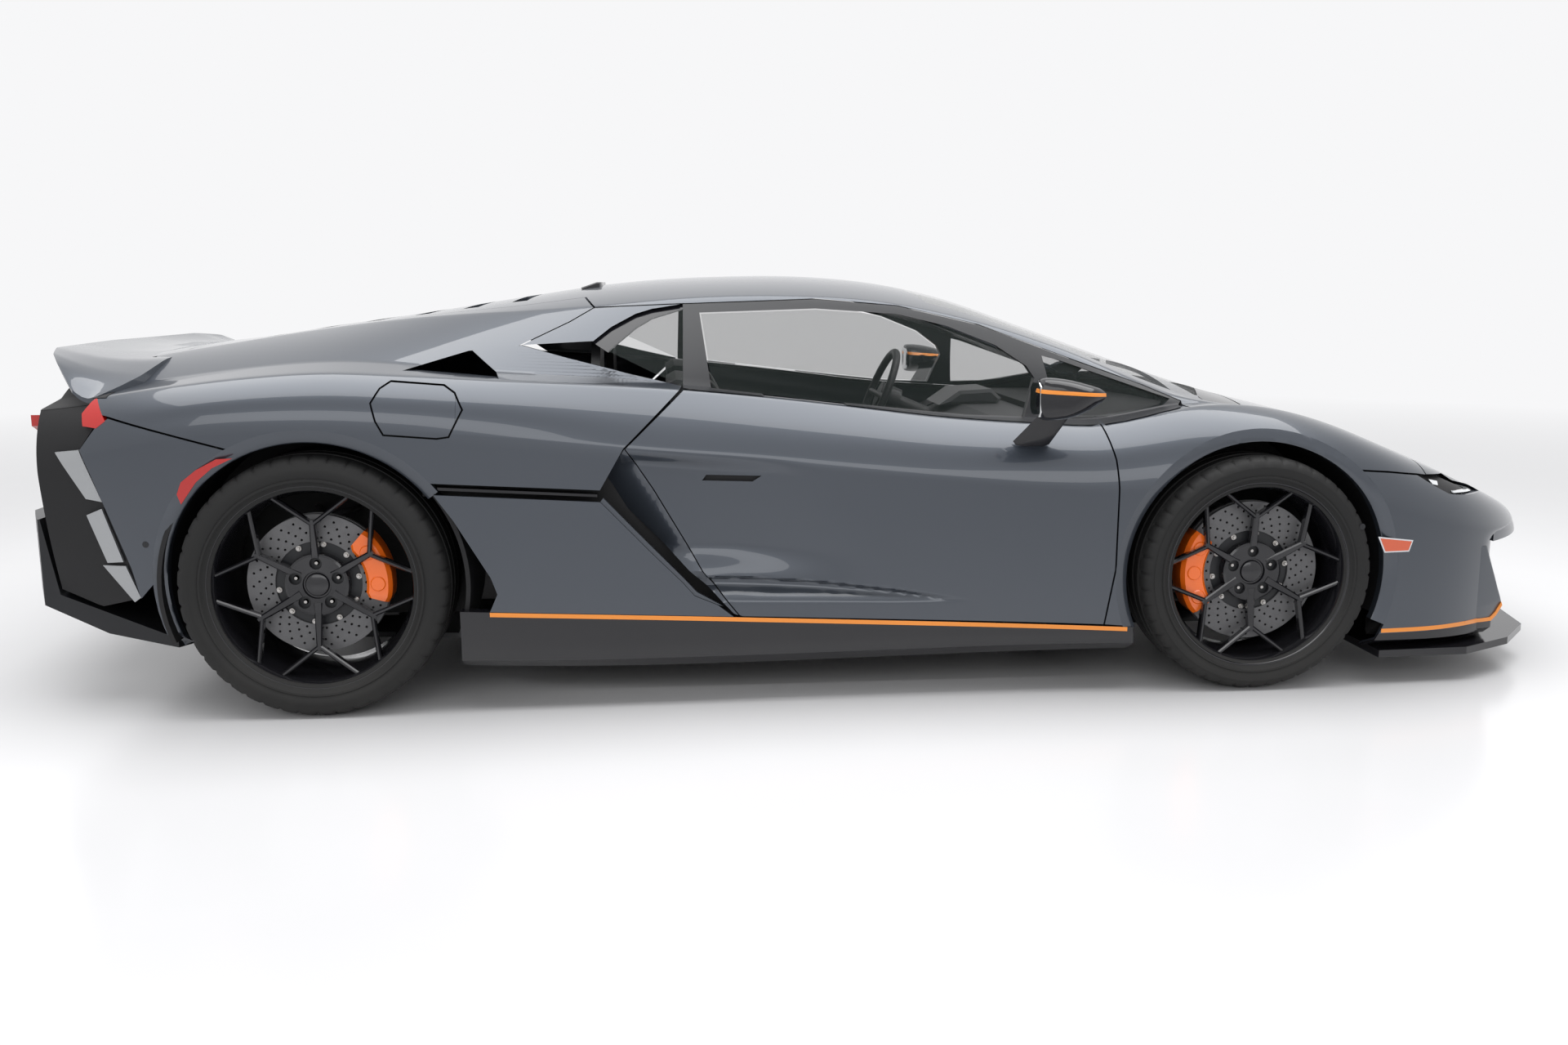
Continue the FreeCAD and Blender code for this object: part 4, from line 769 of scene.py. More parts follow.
def door_hollow(x, z):
    """How far the side sinks between waist and sill, ahead of the intake and inside it."""
    edge = np.interp(z, *DOOR_EDGE)
    ahead = HOLLOW_DEPTH * (1 - ease(0, 520, x - edge))
    inside = DUCT_SLOPE * np.clip(edge - x, 0, 300)
    below = ease(0, 46, np.interp(x, *WAIST) - z)
    above = ease(-8, 90, z - np.interp(x, *SCOOP_TOP))
    return (ahead + inside) * below * above


def scoop(x, z):
    """The pod low on the door: a sharp upper edge, deepest just below it."""
    top, low = np.interp(x, *SCOOP_TOP), np.interp(x, *SCOOP_LOW)
    slope = ease(0, 0.72, (z - low) / np.maximum(top - low, 1))
    profile = slope * (1 - ease(-SCOOP_EDGE, 0, z - top))
    inside = (z < top) & (z > low) & (x < 470)
    depth = 20 * (1 - ease(-200, 380, x)) + 13 * (1 - ease(150, 470, x))
    return np.where(inside, depth * profile, 0)


def nose_step(grid):
    """Below the bumper's beak the nose steps back to the intakes."""
    x, z = grid[..., 0], grid[..., 2]
    grid[..., 0] = x - NOSE_SETBACK * (1 - ease(398, 436, z)) * ease(2000, 2340, x)
    return grid


def sink(grid, depth):
    """The grid moved inwards by a depth for each point."""
    return grid - grid_normals(grid) * depth[..., None]


print("waist at the door's middle:", round(float(np.interp(150, *WAIST))), "mm")


# %% Panel helper
MARGIN = 30


def panel(outline, view="side", gap=SHUT / 2, thickness=WALL, minus=(), hollow=False, step=12.0,
          dense=1, full=False, low=None, depth=0.0, nose=False):
    """The body's skin inside an outline, as a closed solid."""
    xs = [p[0] for p in outline]
    grid = body_grid(max(min(xs) - MARGIN, TAIL), min(max(xs) + MARGIN, NOSE), step, dense)
    if nose:
        grid = nose_step(grid)
    if hollow:
        side = grid[..., 0], grid[..., 2]
        grid = sink(grid, door_hollow(*side) + scoop(*side))
    if depth:
        grid = sink(grid, np.full(grid.shape[:2], float(depth)))
    if full:
        grid = np.concatenate([grid, grid[:, -2::-1] * [1, -1, 1]], 1)
    reach = (1 if low is None else low, OUTSIDE)
    if full and view == "side":
        reach = (-OUTSIDE, OUTSIDE)
    solid = combine(thick_sheet(grid, thickness), prism(shrink(outline, gap), view, *reach),
                    "INTERSECT")
    for shape in minus:
        solid = combine(solid, prism(*shape), "DIFFERENCE")
    return solid


def patch(outline, thickness, depth=0.0, **more):
    """A plain piece of skin, set in by its depth, or proud of the body by a negative one."""
    return panel(outline, gap=0, thickness=thickness, depth=depth, **more)


ARCHES = [from_side(circle(FRONT_HUB, FRONT_ARCH + LIP)),
          from_side(circle(REAR_HUB, REAR_ARCH + LIP))]


def arch_lip(hub, radius, start, end, chamfer=15.0, width=LIP, thickness=26.0):
    """The chamfered band round a wheel arch, laid on the body surface in rings."""
    turn = np.radians(np.linspace(start, end, 121))
    rings = radius + np.array([0, 3, width * 0.5, width - 1.5, width])
    drop = np.array([chamfer + 3, chamfer, chamfer * 0.5, 0.6, 0.0])
    grid = np.zeros((len(turn), len(rings), 3))
    grid[..., 0] = hub[0] + rings * np.cos(turn)[:, None]
    grid[..., 2] = hub[1] + rings * np.sin(turn)[:, None]
    grid[..., 1] = side_depth(grid[..., 0], grid[..., 2]) - drop
    inner = grid.copy()
    inner[..., 1] -= thickness
    return sheet_between(grid, inner)


def side_depth(x, z):
    """Half width of the body at a place on its side."""
    flat_x, flat_z = x.ravel(), z.ravel()
    result = np.zeros(len(flat_x))
    for place in np.unique(np.round(flat_x / SLICE) * SLICE):
        here = np.abs(flat_x - place) <= SLICE / 2
        below = section(place)[:sum(COUNTS[:3]) + 1]
        result[here] = np.interp(flat_z[here], below[:, 1], below[:, 0])
    return result.reshape(x.shape)


print("lip at the front arch:", LIP, "mm wide")

# %% [markdown]
# ## The painted sides
# Door, rear quarter and front wing are the large sheets of the side. The lips of the arches are
# laid on the skin in rings round the hub, because a boolean leaves only sharp edges and the real
# ones are rolled inwards.

# %% Doors, quarters and wings
HANDLE = [(-330, 638), (-318, 654), (-165, 650), (-190, 634)]
both_sides("door", panel(DOOR, thickness=15, minus=[from_side(HANDLE)], hollow=True, step=8,
                         dense=4), PAINT, "door", "door")
both_sides("door_handle", panel(shrink(HANDLE, -8), step=10, depth=12, thickness=5, hollow=True),
           MATTE_BLACK, "door")
UPPER_QUARTER = ([(-377, 890), (-542, 732), (-609, 617), (-1066, 646), (-1300, 660)] + TAIL_SEAM
                 + [(-1939, 838), (-1952, 868), (-1975, 884), (-1975, 1300), (-664, 1300),
                    (-664, 1136), (-631, 1107), (-701, 1067), (-838, 1003), (-697, 966),
                    (-579, 937)])
FLAP_HOLE = (shrink(FLAP, -SHUT / 2), "side", -OUTSIDE, -700)
DECK = from_above(whole(ENGINE_LID))
quarter = panel(UPPER_QUARTER, minus=[from_side(EAR_HOLE, 300), ARCHES[1], DECK])
add_piece("rear_quarter_left", quarter, PAINT, "body", ["rear_quarter_left"])
add_piece("rear_quarter_right", combine(mirrored(quarter), prism(*FLAP_HOLE), "DIFFERENCE"), PAINT,
          "body", ["rear_quarter_right"])
LOWER_QUARTER = ([(-1057, 617)] + QUARTER_EDGE
                 + [(-246, stripe_height(-246)), (-919, stripe_height(-919)), (-897, 337),
                    (-913, 383), (-1006, 544)])
both_sides("lower_quarter", panel(LOWER_QUARTER, gap=0.5), PAINT)
WING = ([(820, 203), (848, 366), (850, 602), (845, 680), (826, 774), (826, 800)]
        + along("crest", 840, 1093, lift=2) + [(1093, 1000), (1800, 900), (1800, 612)]
        + NOSE_SEAM[::-1][1:] + [(1400, 500), (1100, 300), (905, stripe_height(905))])
COWL = [(1090, 0), (1196, 664), (1400, 664), (1400, 0)]
both_sides("front_wing", panel(WING, minus=[ARCHES[0], from_above(whole(LID), 300),
                                            from_above(COWL, 300)]), PAINT, stands_for="front_wing")
both_sides("front_arch_lip", arch_lip(FRONT_HUB, FRONT_ARCH, -22, 203), PAINT)
both_sides("rear_arch_lip", arch_lip(REAR_HUB, REAR_ARCH, 37, 205), PAINT)

# %% [markdown]
# ## Roof, glass and lids
# The windscreen and both lids are cut from the full width of the skin, as seen from above. Panes
# are thin sheets of the same surface, so they lie flush. The belt under the side window moves
# with the door, so one prism cuts the window's frame in two, and each part gets its own body.

# %% Roof, glass and lids
ROOF = ([(-664, 1136), (-631, 1107), (-371, 1117)] + ROOF_LINE
        + [(1150, 800), (1200, 830), (1200, 1400), (-664, 1400)])
add_piece("roof_skin", panel(ROOF, full=True, minus=[from_above(whole(WINDSCREEN))], thickness=20),
          PAINT, "body", ["roof_frame"])
surround = panel(GLASS_HOUSE, gap=0.3, minus=[from_side(WINDOW, 200), from_side(FRONT_PANE, 200)],
                 thickness=30)
BELT = [(-300, 881), (-2, 843.5), (449, 794.5), (617, 786.5), (640, 781), (640, 600), (-300, 600)]
belt_cut = prism(*from_side(BELT, 200))
both_sides("window_frame", combine(surround, belt_cut, "DIFFERENCE"), SATIN_DARK)
both_sides("window_belt", combine(surround, belt_cut, "INTERSECT"), SATIN_DARK, "door")
both_sides("front_quarter_pane", patch(shrink(FRONT_PANE, -3), 4, 3), GLASS)
both_sides("pillar_blade", panel(BLADE, gap=0.5), PAINT)
both_sides("pillar_slash", patch(shrink(SLASH, -4), 8, 9), GLOSS_BLACK)
both_sides("rear_quarter_pane", patch(REAR_PANE, 5, 2), GLASS, left_for="quarter_panes")
both_sides("shelf_panel", panel(SHELF_PANEL, gap=0.5), PAINT)
add_piece("windscreen_pane", panel(whole(WINDSCREEN), "plan", gap=0.5, full=True, low=600,
                                   thickness=6), GLASS, "body", ["windscreen"])
add_piece("front_lid_skin", panel(whole(LID), "plan", full=True, low=460), PAINT, "front_lid",
          ["front_lid"])
VENTS = [[(x, 90), (x - 30, 330 - 0.06 * k), (x - 78, 322 - 0.06 * k), (x - 48, 90)]
         for k, x in enumerate(range(-820, -1600, -150))]
VENTS += [[(x, -y) for x, y in shape] for shape in VENTS]
add_piece("engine_lid_skin", panel(whole(ENGINE_LID), "plan", full=True, low=600,
                                   minus=[from_above(shape) for shape in VENTS]),
          PAINT, "engine_lid", ["engine_lid"])
LID_TRAY = [(-780, 0), (-780, 350), (-1650, 350), (-1650, 0)]
add_piece("engine_lid_tray", patch(whole(LID_TRAY), 6, 26, view="plan", full=True, low=600),
          MATTE_BLACK, "engine_lid")

# %% [markdown]
# ## Nose and tail skins
# The front bumper wraps round the nose in one piece, and its intakes are mouths cut from the
# front. A dark liner lies behind it, as in the real car, where ducts and a crash beam fill the
# room. The rear bumper's sides are plain panels that end at the dark tail.

# %% Nose and tail skins
BUMPER = NOSE_SEAM + [(1800, 900), (2353, 900), (2353, 112), (1560, 112), (1560, 480)]
LID_HOLE = from_above(shrink(whole(LID), -SHUT), 440)
INTAKE = [(395, 180), (470, 385), (560, 395), (770, 350), (815, 250), (800, 180)]
CHIN = [(-330, 185), (-300, 300), (300, 300), (330, 185)]
MOUTHS = [(shape, "front", 1850, 2600) for shape in (INTAKE, [(-y, z) for y, z in INTAKE], CHIN)]
FRONT_WELL = through(circle(FRONT_HUB, FRONT_ARCH + LIP))
add_piece("front_bumper_skin",
          panel(BUMPER, full=True, nose=True,
                minus=[FRONT_WELL, LID_HOLE, from_side(HEAD_LAMP, 400),
                       from_side(HEAD_LAMP, -OUTSIDE, -400)] + MOUTHS),
          PAINT, "body", ["front_bumper"])
LINER = [(1640, 400), (2353, 400), (2353, 118), (1640, 118)]
add_piece("nose_liner", panel(LINER, full=True, nose=True, depth=70, thickness=20,
                              minus=[FRONT_WELL]), MATTE_BLACK)
REAR_SIDE = [(-1531, 729), (-1752, 789), (-1905, 829), (-1939, 805), (-1985, 745), (-1962, 679),
             (-1930, 579), (-1881, 419), (-1865, 331), (-1811, 387), (-1600, 450), (-1500, 600)]
both_sides("rear_bumper_side", panel(REAR_SIDE, gap=1, minus=[ARCHES[1]]), PAINT,
           left_for="rear_bumper")

# %% [markdown]
# ## Wheels
# A wheel is a lathe's work: tyre, rim barrel and brake disc are profiles turned about the axle.
# The six forked spokes are tapered bars with bevelled edges, joined to the barrel and hub by
# booleans. What repeats round the axle, such as bolts and drill holes, comes from one small
# Geometry Nodes tree that sets copies of a shape on a ring.


# %% Lathe and bar helpers
def lathe(profile, segments=96, shape=None):
    """A closed ring: a closed profile of (radius, y) turned about the axle."""
    profile = np.array(profile, float)
    turn = np.linspace(0, 2 * math.pi, segments, endpoint=False)
    r = np.repeat(profile[None, :, 0], segments, 0)
    y = np.repeat(profile[None, :, 1], segments, 0)
    if shape is not None:
        r = shape(r, y, turn[:, None])
    points = np.stack([r * np.cos(turn)[:, None], y, r * np.sin(turn)[:, None]], 2)
    count = len(profile)
    i, j = np.meshgrid(np.arange(segments), np.arange(count), indexing="ij")
    a, b = i * count + j, i * count + (j + 1) % count
    c, d = (i + 1) % segments * count + (j + 1) % count, (i + 1) % segments * count + j
    return outward(new_mesh(points.reshape(-1, 3), np.stack([a, b, c, d], 2).reshape(-1, 4)))


def loft(rings):
    """A closed solid through rings of points, with flat ends."""
    rings = np.array(rings, float)
    rows, count = rings.shape[:2]
    faces = [list(range(count))[::-1], [(rows - 1) * count + k for k in range(count)]]
    for i in range(rows - 1):
        faces += [[i * count + k, i * count + (k + 1) % count, (i + 1) * count + (k + 1) % count,
                   (i + 1) * count + k] for k in range(count)]
    return outward(new_mesh(rings.reshape(-1, 3), faces))


def round_bar(centre, radius, low, high, sides=24, bevel=1.0):
    """A short cylinder along Y with bevelled rims."""
    rings = []
    for y, r in ((low, radius - bevel), (low + bevel, radius), (high - bevel, radius),
                 (high, radius - bevel)):
        turn = np.linspace(0, 2 * math.pi, sides, endpoint=False)
        rings.append(np.stack([centre[0] + r * np.cos(turn), np.full(sides, y),
                               centre[1] + r * np.sin(turn)], 1))
    return loft(rings)


def moved(mesh, x=0.0, y=0.0, z=0.0):
    """A copy of a mesh moved by millimetres."""
    copy = mesh.copy()
    for v in copy.vertices:
        v.co += Vector((x, y, z)) * MM
    return copy


print("lathe ready")


# %% [markdown]
# Bolts and drill holes sit at equal steps round the axle. Geometry Nodes set copies of any mesh
# on such a ring, with the count, radius and turn as inputs. The tree ends by making the copies
# real and setting their material, because the export keeps no instances.

# %% Ring of copies
def ring_tree():
    """Geometry Nodes: copies of the mesh it is given, set on a ring about the axle."""
    tree = bpy.data.node_groups.new("ring_of_copies", "GeometryNodeTree")
    tree.interface.new_socket("Geometry", in_out="INPUT", socket_type="NodeSocketGeometry")
    tree.interface.new_socket("Count", in_out="INPUT", socket_type="NodeSocketInt")
    for label in ("Radius", "Turn"):
        tree.interface.new_socket(label, in_out="INPUT", socket_type="NodeSocketFloat")
    tree.interface.new_socket("Material", in_out="INPUT", socket_type="NodeSocketMaterial")
    tree.interface.new_socket("Geometry", in_out="OUTPUT", socket_type="NodeSocketGeometry")
    start, end = tree.nodes.new("NodeGroupInput").outputs, tree.nodes.new("NodeGroupOutput")
    index = add_node(tree, "GeometryNodeInputIndex").outputs[0]
    share = calculate(tree, "DIVIDE", index, start["Count"])
    angle = calculate(tree, "ADD", calculate(tree, "MULTIPLY", share, 2 * math.pi), start["Turn"])
    across, up = (calculate(tree, "MULTIPLY", calculate(tree, wave, angle), start["Radius"])
                  for wave in ("COSINE", "SINE"))
    place = add_node(tree, "ShaderNodeCombineXYZ", [("X", across), ("Z", up)])
    points = add_node(tree, "GeometryNodePoints",
                      [("Count", start["Count"]), ("Position", place.outputs[0])])
    spin = add_node(tree, "FunctionNodeAxisAngleToRotation",
                    [("Axis", (0, -1, 0)), ("Angle", angle)])
    copies = add_node(tree, "GeometryNodeInstanceOnPoints",
                      [("Points", points.outputs[0]), ("Instance", start["Geometry"]),
                       ("Rotation", spin.outputs[0])])
    real = add_node(tree, "GeometryNodeRealizeInstances", [(0, copies.outputs[0])])
    colour = add_node(tree, "GeometryNodeSetMaterial",
                      [("Geometry", real.outputs[0]), ("Material", start["Material"])])
    tree.links.new(colour.outputs[0], end.inputs[0])
    return tree


RING_TREE = ring_tree()


def ring_of(mesh, count, radius, turn=0.0, material=None):
    """Copies of a small mesh on a ring about the axle, as one mesh."""
    holder = bpy.data.objects.new("work", mesh)
    SCENE.collection.objects.link(holder)
    step = holder.modifiers.new("ring", "NODES")
    step.node_group = RING_TREE
    values = {"Count": count, "Radius": radius * MM, "Turn": math.radians(turn),
              "Material": material}
    for item in RING_TREE.interface.items_tree:
        if item.in_out == "INPUT" and item.name in values:
            step[item.identifier] = values[item.name]
    graph = bpy.context.evaluated_depsgraph_get()
    result = bpy.data.meshes.new_from_object(holder.evaluated_get(graph))
    holder.modifiers.remove(step)
    bpy.data.objects.remove(holder)
    return result


print("ring of copies ready")

# %% [markdown]
# ## Tyres and rims
# A tyre is turned with two grooves round it. Its shoulders get short cross grooves, by letting the
# radius drop at equal steps of the turn. Barrel and hub of the rim are turned too, and each spoke
# is a stem that forks into two prongs, on a face that is dished towards the hub.

# %% Tyre
GROOVES_ROUND = 44


def tyre_mesh(radius, flange, half):
    """Tyre with ribs, lateral shoulder grooves and a rim protector."""
    side = [(flange - 15, half - 18), (flange - 3, half - 14), (flange + 5, half - 8),
            (flange + 10, half - 2.5), (flange + 15, half - 2), (flange + 18, half - 5),
            (flange + 28, half - 1), (flange + 42, half - 0.3), (radius - 34, half - 2),
            (radius - 26, half - 5), (radius - 18, half - 9), (radius - 11, half - 15),
            (radius - 6.5, half - 23), (radius - 3.5, half - 34), (radius - 2.2, half - 46)]
    tread = []
    for y in (0.55 * half, 0.2 * half):
        tread += [(radius - 1.2, y + 6), (radius - 8, y + 4.5), (radius - 8, y - 4.5),
                  (radius - 0.6, y - 6)]
    outer = side + tread + [(r, -y) for r, y in reversed(side + tread)]
    inner = [(flange - 15, -half + 30), (flange + 20, -half + 16), (radius - 34, -half + 22),
             (radius - 18, 0), (radius - 34, half - 22), (flange + 20, half - 16),
             (flange - 15, half - 30)]

    def shape(r, y, turn):
        step = (turn / (2 * math.pi) * GROOVES_ROUND + np.sign(y) * 0.25) % 1
        groove = (step < 0.16) & (r > radius - 20) & (np.abs(y) > 0.62 * half)
        return r - 4.5 * groove

    return lathe(outer + inner, GROOVES_ROUND * 6, shape)


FRONT_WHEEL = {"radius": 343.25, "flange": 271.0, "half": 126.0, "rim_half": 114.0,
               "face": 92.0, "fork": 168.0}
REAR_WHEEL = {"radius": 364.2, "flange": 284.0, "half": 163.0, "rim_half": 149.0,
              "face": 127.0, "fork": 177.0}
TYRES = [tyre_mesh(w["radius"] - 0.3, w["flange"], w["half"]) for w in (FRONT_WHEEL, REAR_WHEEL)]
print("tyre:", len(TYRES[0].polygons), "faces")


# %% Rim
def face_line(wheel, r):
    """How far out the spokes' face lies at a radius: the face is dished towards the hub."""
    share = np.clip((wheel["flange"] - 14 - np.asarray(r, float)) / 190.0, 0, 1)
    return wheel["face"] - 24 * share**1.3


def spoke_bar(wheel, start, end, width, end_width, depth=27.0, bevel=3.6):
    """A bevelled bar between two places (x, z) in the plane of the wheel."""
    start, end = np.array(start, float), np.array(end, float)
    run = (end - start) / np.linalg.norm(end - start)
    across = np.array([-run[1], run[0]])
    rings = []
    for t in np.linspace(0, 1, 9):
        centre = start + (end - start) * t
        half = (width + (end_width - width) * t) / 2
        top = float(face_line(wheel, np.linalg.norm(centre)))
        ring = []
        for offset, drop in ((bevel - half, 0), (half - bevel, 0), (half, 4.2),
                             (half - 1.5, depth), (1.5 - half, depth), (-half, 4.2)):
            x, z = centre + across * offset
            ring.append((x, top - drop, z))
        rings.append(ring)
    return loft(rings)


def polar(radius, degrees):
    """A place (x, z) at a radius and an angle about the axle."""
    return (radius * math.cos(math.radians(degrees)), radius * math.sin(math.radians(degrees)))


def rim_mesh(wheel):
    """Barrel, hub and six forked spokes in one."""
    f, h = wheel["flange"], wheel["rim_half"]
    barrel = lathe([(f, h - 1.5), (f - 1.5, h), (f - 5, h), (f - 8, h - 5), (f - 15, h - 9),
                    (f - 19, h - 16), (f - 21, h - 34), (f - 31, h - 70), (f - 31, -h + 60),
                    (f - 22, -h + 30), (f - 19, -h + 12), (f - 8, -h + 4), (f - 5, -h),
                    (f - 1.5, -h), (f, -h + 1.5), (f, -h + 8), (f - 14, -h + 12),
                    (f - 13, -h + 34), (f - 23, -h + 62), (f - 23, h - 74), (f - 12, h - 36),
                    (f - 13, h - 14), (f, h - 9)], 120)
    low = float(face_line(wheel, 60))
    hub = lathe([(0.5, low - 3), (24, low - 4), (30, low - 7), (33, low - 12), (37, low - 12),
                 (39, low - 5), (80, low - 1), (86, low - 4), (89, low - 14), (86, low - 60),
                 (30, low - 62), (0.5, low - 62)], 60)
    spokes = []
    for turn in range(90, 450, 60):
        stem = spoke_bar(wheel, polar(50, turn), polar(wheel["fork"] + 6, turn), 25, 15)
        prongs = [spoke_bar(wheel, polar(wheel["fork"] - 5, turn + 0.6 * side),
                            polar(f - 16, turn + 22.5 * side), 12.5, 12) for side in (-1, 1)]
        spokes.append([stem] + prongs)
    rim = barrel
    for k in range(3):
        rim = combine(rim, joined([group[k] for group in spokes]), "UNION")
    rim = combine(rim, hub, "UNION")
    sockets = ring_of(round_bar((0, 0), 17, low - 26, low + 20, 24, 0.5), 5, 60, 90)
    return combine(rim, sockets, "DIFFERENCE")


RIMS = [rim_mesh(wheel) for wheel in (FRONT_WHEEL, REAR_WHEEL)]
print("rim:", len(RIMS[0].polygons), "faces")


# %% [markdown]
# ## Brakes
# A disc is two friction rings with air between them, on a dark bell, and its drill holes run in
# slanted rows. The caliper is a block bent round the axle, with round bulges for its pistons and
# a slot for the disc. Both could be sculpted, but arcs and booleans keep the sizes exact.

# %% Brake disc, bolts and caliper
def disc_mesh(radius, low, high):
    """Two friction rings with a vented gap between them, drilled right through."""
    middle = (low + high) / 2
    ring = lathe([(radius - 1, low), (radius, low + 1), (radius, middle - 5),
                  (radius - 16, middle - 4), (radius - 16, middle + 4), (radius, middle + 5),
                  (radius, high - 1), (radius - 1, high), (118, high), (117, high - 1),
                  (117, low + 1), (118, low)], 96)
    drill = round_bar((0, 0), 3.6, low - 3, high + 3, 8, 0.2)
    rows = [ring_of(drill, 30, 128 + 16 * k, 4.6 * k) for k in range(int((radius - 138) // 16) + 1)]
    return combine(ring, joined(rows), "DIFFERENCE")


def bell_mesh(high):
    """The dark hat that carries the friction rings."""
    return lathe([(40, high + 10), (78, high + 10), (84, high + 6), (86, high - 6),
                  (126, high - 6), (128, high - 9), (126, high - 22), (80, high - 24),
                  (76, high - 2), (40, high - 2)], 72)


BOLT = combine(round_bar((0, 0), 8.5, 0, 6, 24, 0.8), round_bar((0, 0), 5.2, -6, 14, 6, 0.6),
               "UNION")


def arc_block(inner, outer, low, high, start, end, steps=24):
    """A block bent round the axle, with its outer edges and ends bevelled."""
    rings = []
    for k in range(steps + 1):
        angle = start + (end - start) * k / steps
        trim = 9 * (1 - min(1, min(k, steps - k) / 2))
        ring = []
        for r, y in ((inner + trim, low), (outer - 10, low), (outer - trim * 0.5, low + 12),
                     (outer - trim * 0.5, high - 12), (outer - 10 - trim * 0.5, high - trim * 0.4),
                     (inner + 8 + trim, high - trim * 0.4), (inner + trim, high - 8)):
            x, z = polar(r, angle)
            ring.append((x, y, z))
        rings.append(ring)
    return loft(rings)


def caliper_mesh(disc_radius, low, high, start, end, pistons, disc_low, disc_high):
    """Caliper body with its piston bulges and the slot the disc runs in."""
    body = arc_block(disc_radius - 60, disc_radius + 9, low, high, start, end)
    for k in range(pistons):
        angle = start + (end - start) * (k + 0.5) / pistons
        bulge = round_bar(polar(disc_radius - 28, angle), 21, high - 14, high + 3.5, 28, 3.0)
        body = combine(body, bulge, "UNION")
    slot = arc_block(disc_radius - 90, disc_radius + 3, disc_low - 2, disc_high + 2, start - 8,
                     end + 8)
    return combine(body, slot, "DIFFERENCE")


DISCS = [disc_mesh(204, 8, 41), disc_mesh(194, 39, 75)]
BELLS = [bell_mesh(41), bell_mesh(75)]
CALIPERS = [caliper_mesh(203, low=-24, high=68, start=144, end=216, pistons=3, disc_low=8,
                         disc_high=41),
            caliper_mesh(193, low=14, high=100, start=-16, end=48, pistons=2, disc_low=39,
                         disc_high=75)]
print("disc:", len(DISCS[0].polygons), "faces, caliper:", len(CALIPERS[0].polygons))

# %% Put the wheels on the car
# For each end: hub, half track, wheel and the disc's outer face.
ENDS = {"front": (FRONT_HUB, 858.0, FRONT_WHEEL, 41), "rear": (REAR_HUB, 832.0, REAR_WHEEL, 75)}
for k, (end, (hub, track, wheel, disc_face)) in enumerate(ENDS.items()):
    seat = float(face_line(wheel, 60)) - 24
    nuts = ring_of(moved(BOLT, y=seat), count=5, radius=60, turn=90, material=STEEL)
    studs = ring_of(moved(BOLT, y=disc_face - 7), count=10, radius=110, turn=9, material=STEEL)
    turning = [("tyre", TYRES[k], RUBBER), ("rim", RIMS[k], RIM_BLACK),
               ("disc", DISCS[k], DISC_GREY), ("disc_bell", BELLS[k], SATIN_DARK),
               ("wheel_nuts", nuts, STEEL), ("bell_bolts", studs, STEEL)]
    for name, mesh, material in turning:
        both_sides(name + "_" + end, moved(mesh, hub[0], track, hub[1]), material, "wheel_" + end,
                   name + "_" + end if name in ("tyre", "rim", "disc") else "", 30)
    caliper = moved(CALIPERS[k], hub[0], track, hub[1])
    if end == "front":
        both_sides("caliper_front", caliper, ORANGE, "steer", "caliper_front", 30)
    else:
        both_sides("caliper_rear", caliper, ORANGE, angle=30, left_for="rear_calipers")

# %% [markdown]
# ## Trim on the side
# The door's pane rides on the door. Under the doors runs a gloss sill with a thin coloured line,
# and the same line returns low on the front bumper. Behind the door the air intake shows a
# painted wall that sinks inwards, then a matte black sheet deep inside it: painted shade for the
# unlit end of the intake. All of these are cut from the same body surface as the panels, only
# deeper or a little proud of it.

# %% Panes, sills and coloured lines
both_sides("door_pane", patch(shrink(WINDOW, 4), 4, 1), GLASS, "door")
SILL = [(x, stripe_height(x)) for x in (-1000, -222, 905)] + [(912, 90), (-1000, 90)]
sill = panel(SILL, gap=0.5, thickness=40, minus=[from_side(circle(FRONT_HUB, FRONT_ARCH), 500),
                                                 from_side(circle(REAR_HUB, REAR_ARCH), 500)])
both_sides("sill", sill, GLOSS_BLACK, left_for="sills")
LINE = [(x, stripe_height(x) - 1) for x in (-919, -300, 300, 888)]
LINE += [(x, z - 12) for x, z in reversed(LINE)]
both_sides("sill_line", patch(LINE, 3, -0.9), LINE_AMBER)
FRONT_LINE = [(1650, 161), (1845, 160), (2030, 159), (2030, 172), (1845, 172), (1650, 173)]
both_sides("bumper_line", patch(FRONT_LINE, 3, -0.9, nose=True), LINE_AMBER)
FRONT_MARKER = [(1624, 444), (1726, 431), (1717, 405), (1643, 405)]
both_sides("front_marker_edge", patch(shrink(FRONT_MARKER, -4), 3, -0.7), CLEAR_LAMP)
both_sides("front_marker", patch(FRONT_MARKER, 4, -1.8), AMBER_LAMP)
REAR_MARKER = [(-1730, 627), (-1716, 660), (-1673, 693), (-1617, 722), (-1574, 724), (-1630, 698),
               (-1676, 660), (-1721, 600)]
both_sides("rear_marker", patch(REAR_MARKER, 4, -1.5), RED_LAMP)
for name, spot in (("front_sensor", (1565, 480)), ("rear_sensor", (-1831, 488))):
    both_sides(name, patch(circle(spot, 9, 20), 3, -0.6), SATIN_DARK)

# %% Air intake behind the door
DUCT_WALL = [(-542, 732), (-600, 640), (-585, 590), (-560, 575), (-489, 505), (-366, 383),
             (-300, 320), (-246, 262), (-231, 256), (-332, 383), (-465, 614)]
both_sides("duct_wall", panel(DUCT_WALL, gap=0.8, hollow=True), PAINT)
# The throat is a matte black sheet set 95 mm inside the skin: painted shade for the deep end of the
# intake.
THROAT = [(-540, 740), (-700, 700), (-1100, 680), (-1100, 600), (-640, 560), (-560, 420),
          (-440, 300), (-210, 240), (-300, 400), (-430, 640)]
both_sides("duct_throat", patch(THROAT, 20, 95), MATTE_BLACK)
SLOT_BLADE = [(-1046, 636), (-618, 607), (-618, 600), (-1044, 628)]
both_sides("slot_blade", patch(SLOT_BLADE, 40, 9), GLOSS_BLACK)
BEVEL_BACK = [(-276, 284), (-349, 326), (-383, 364), (-460, 445), (-526, 515), (-602, 597)]
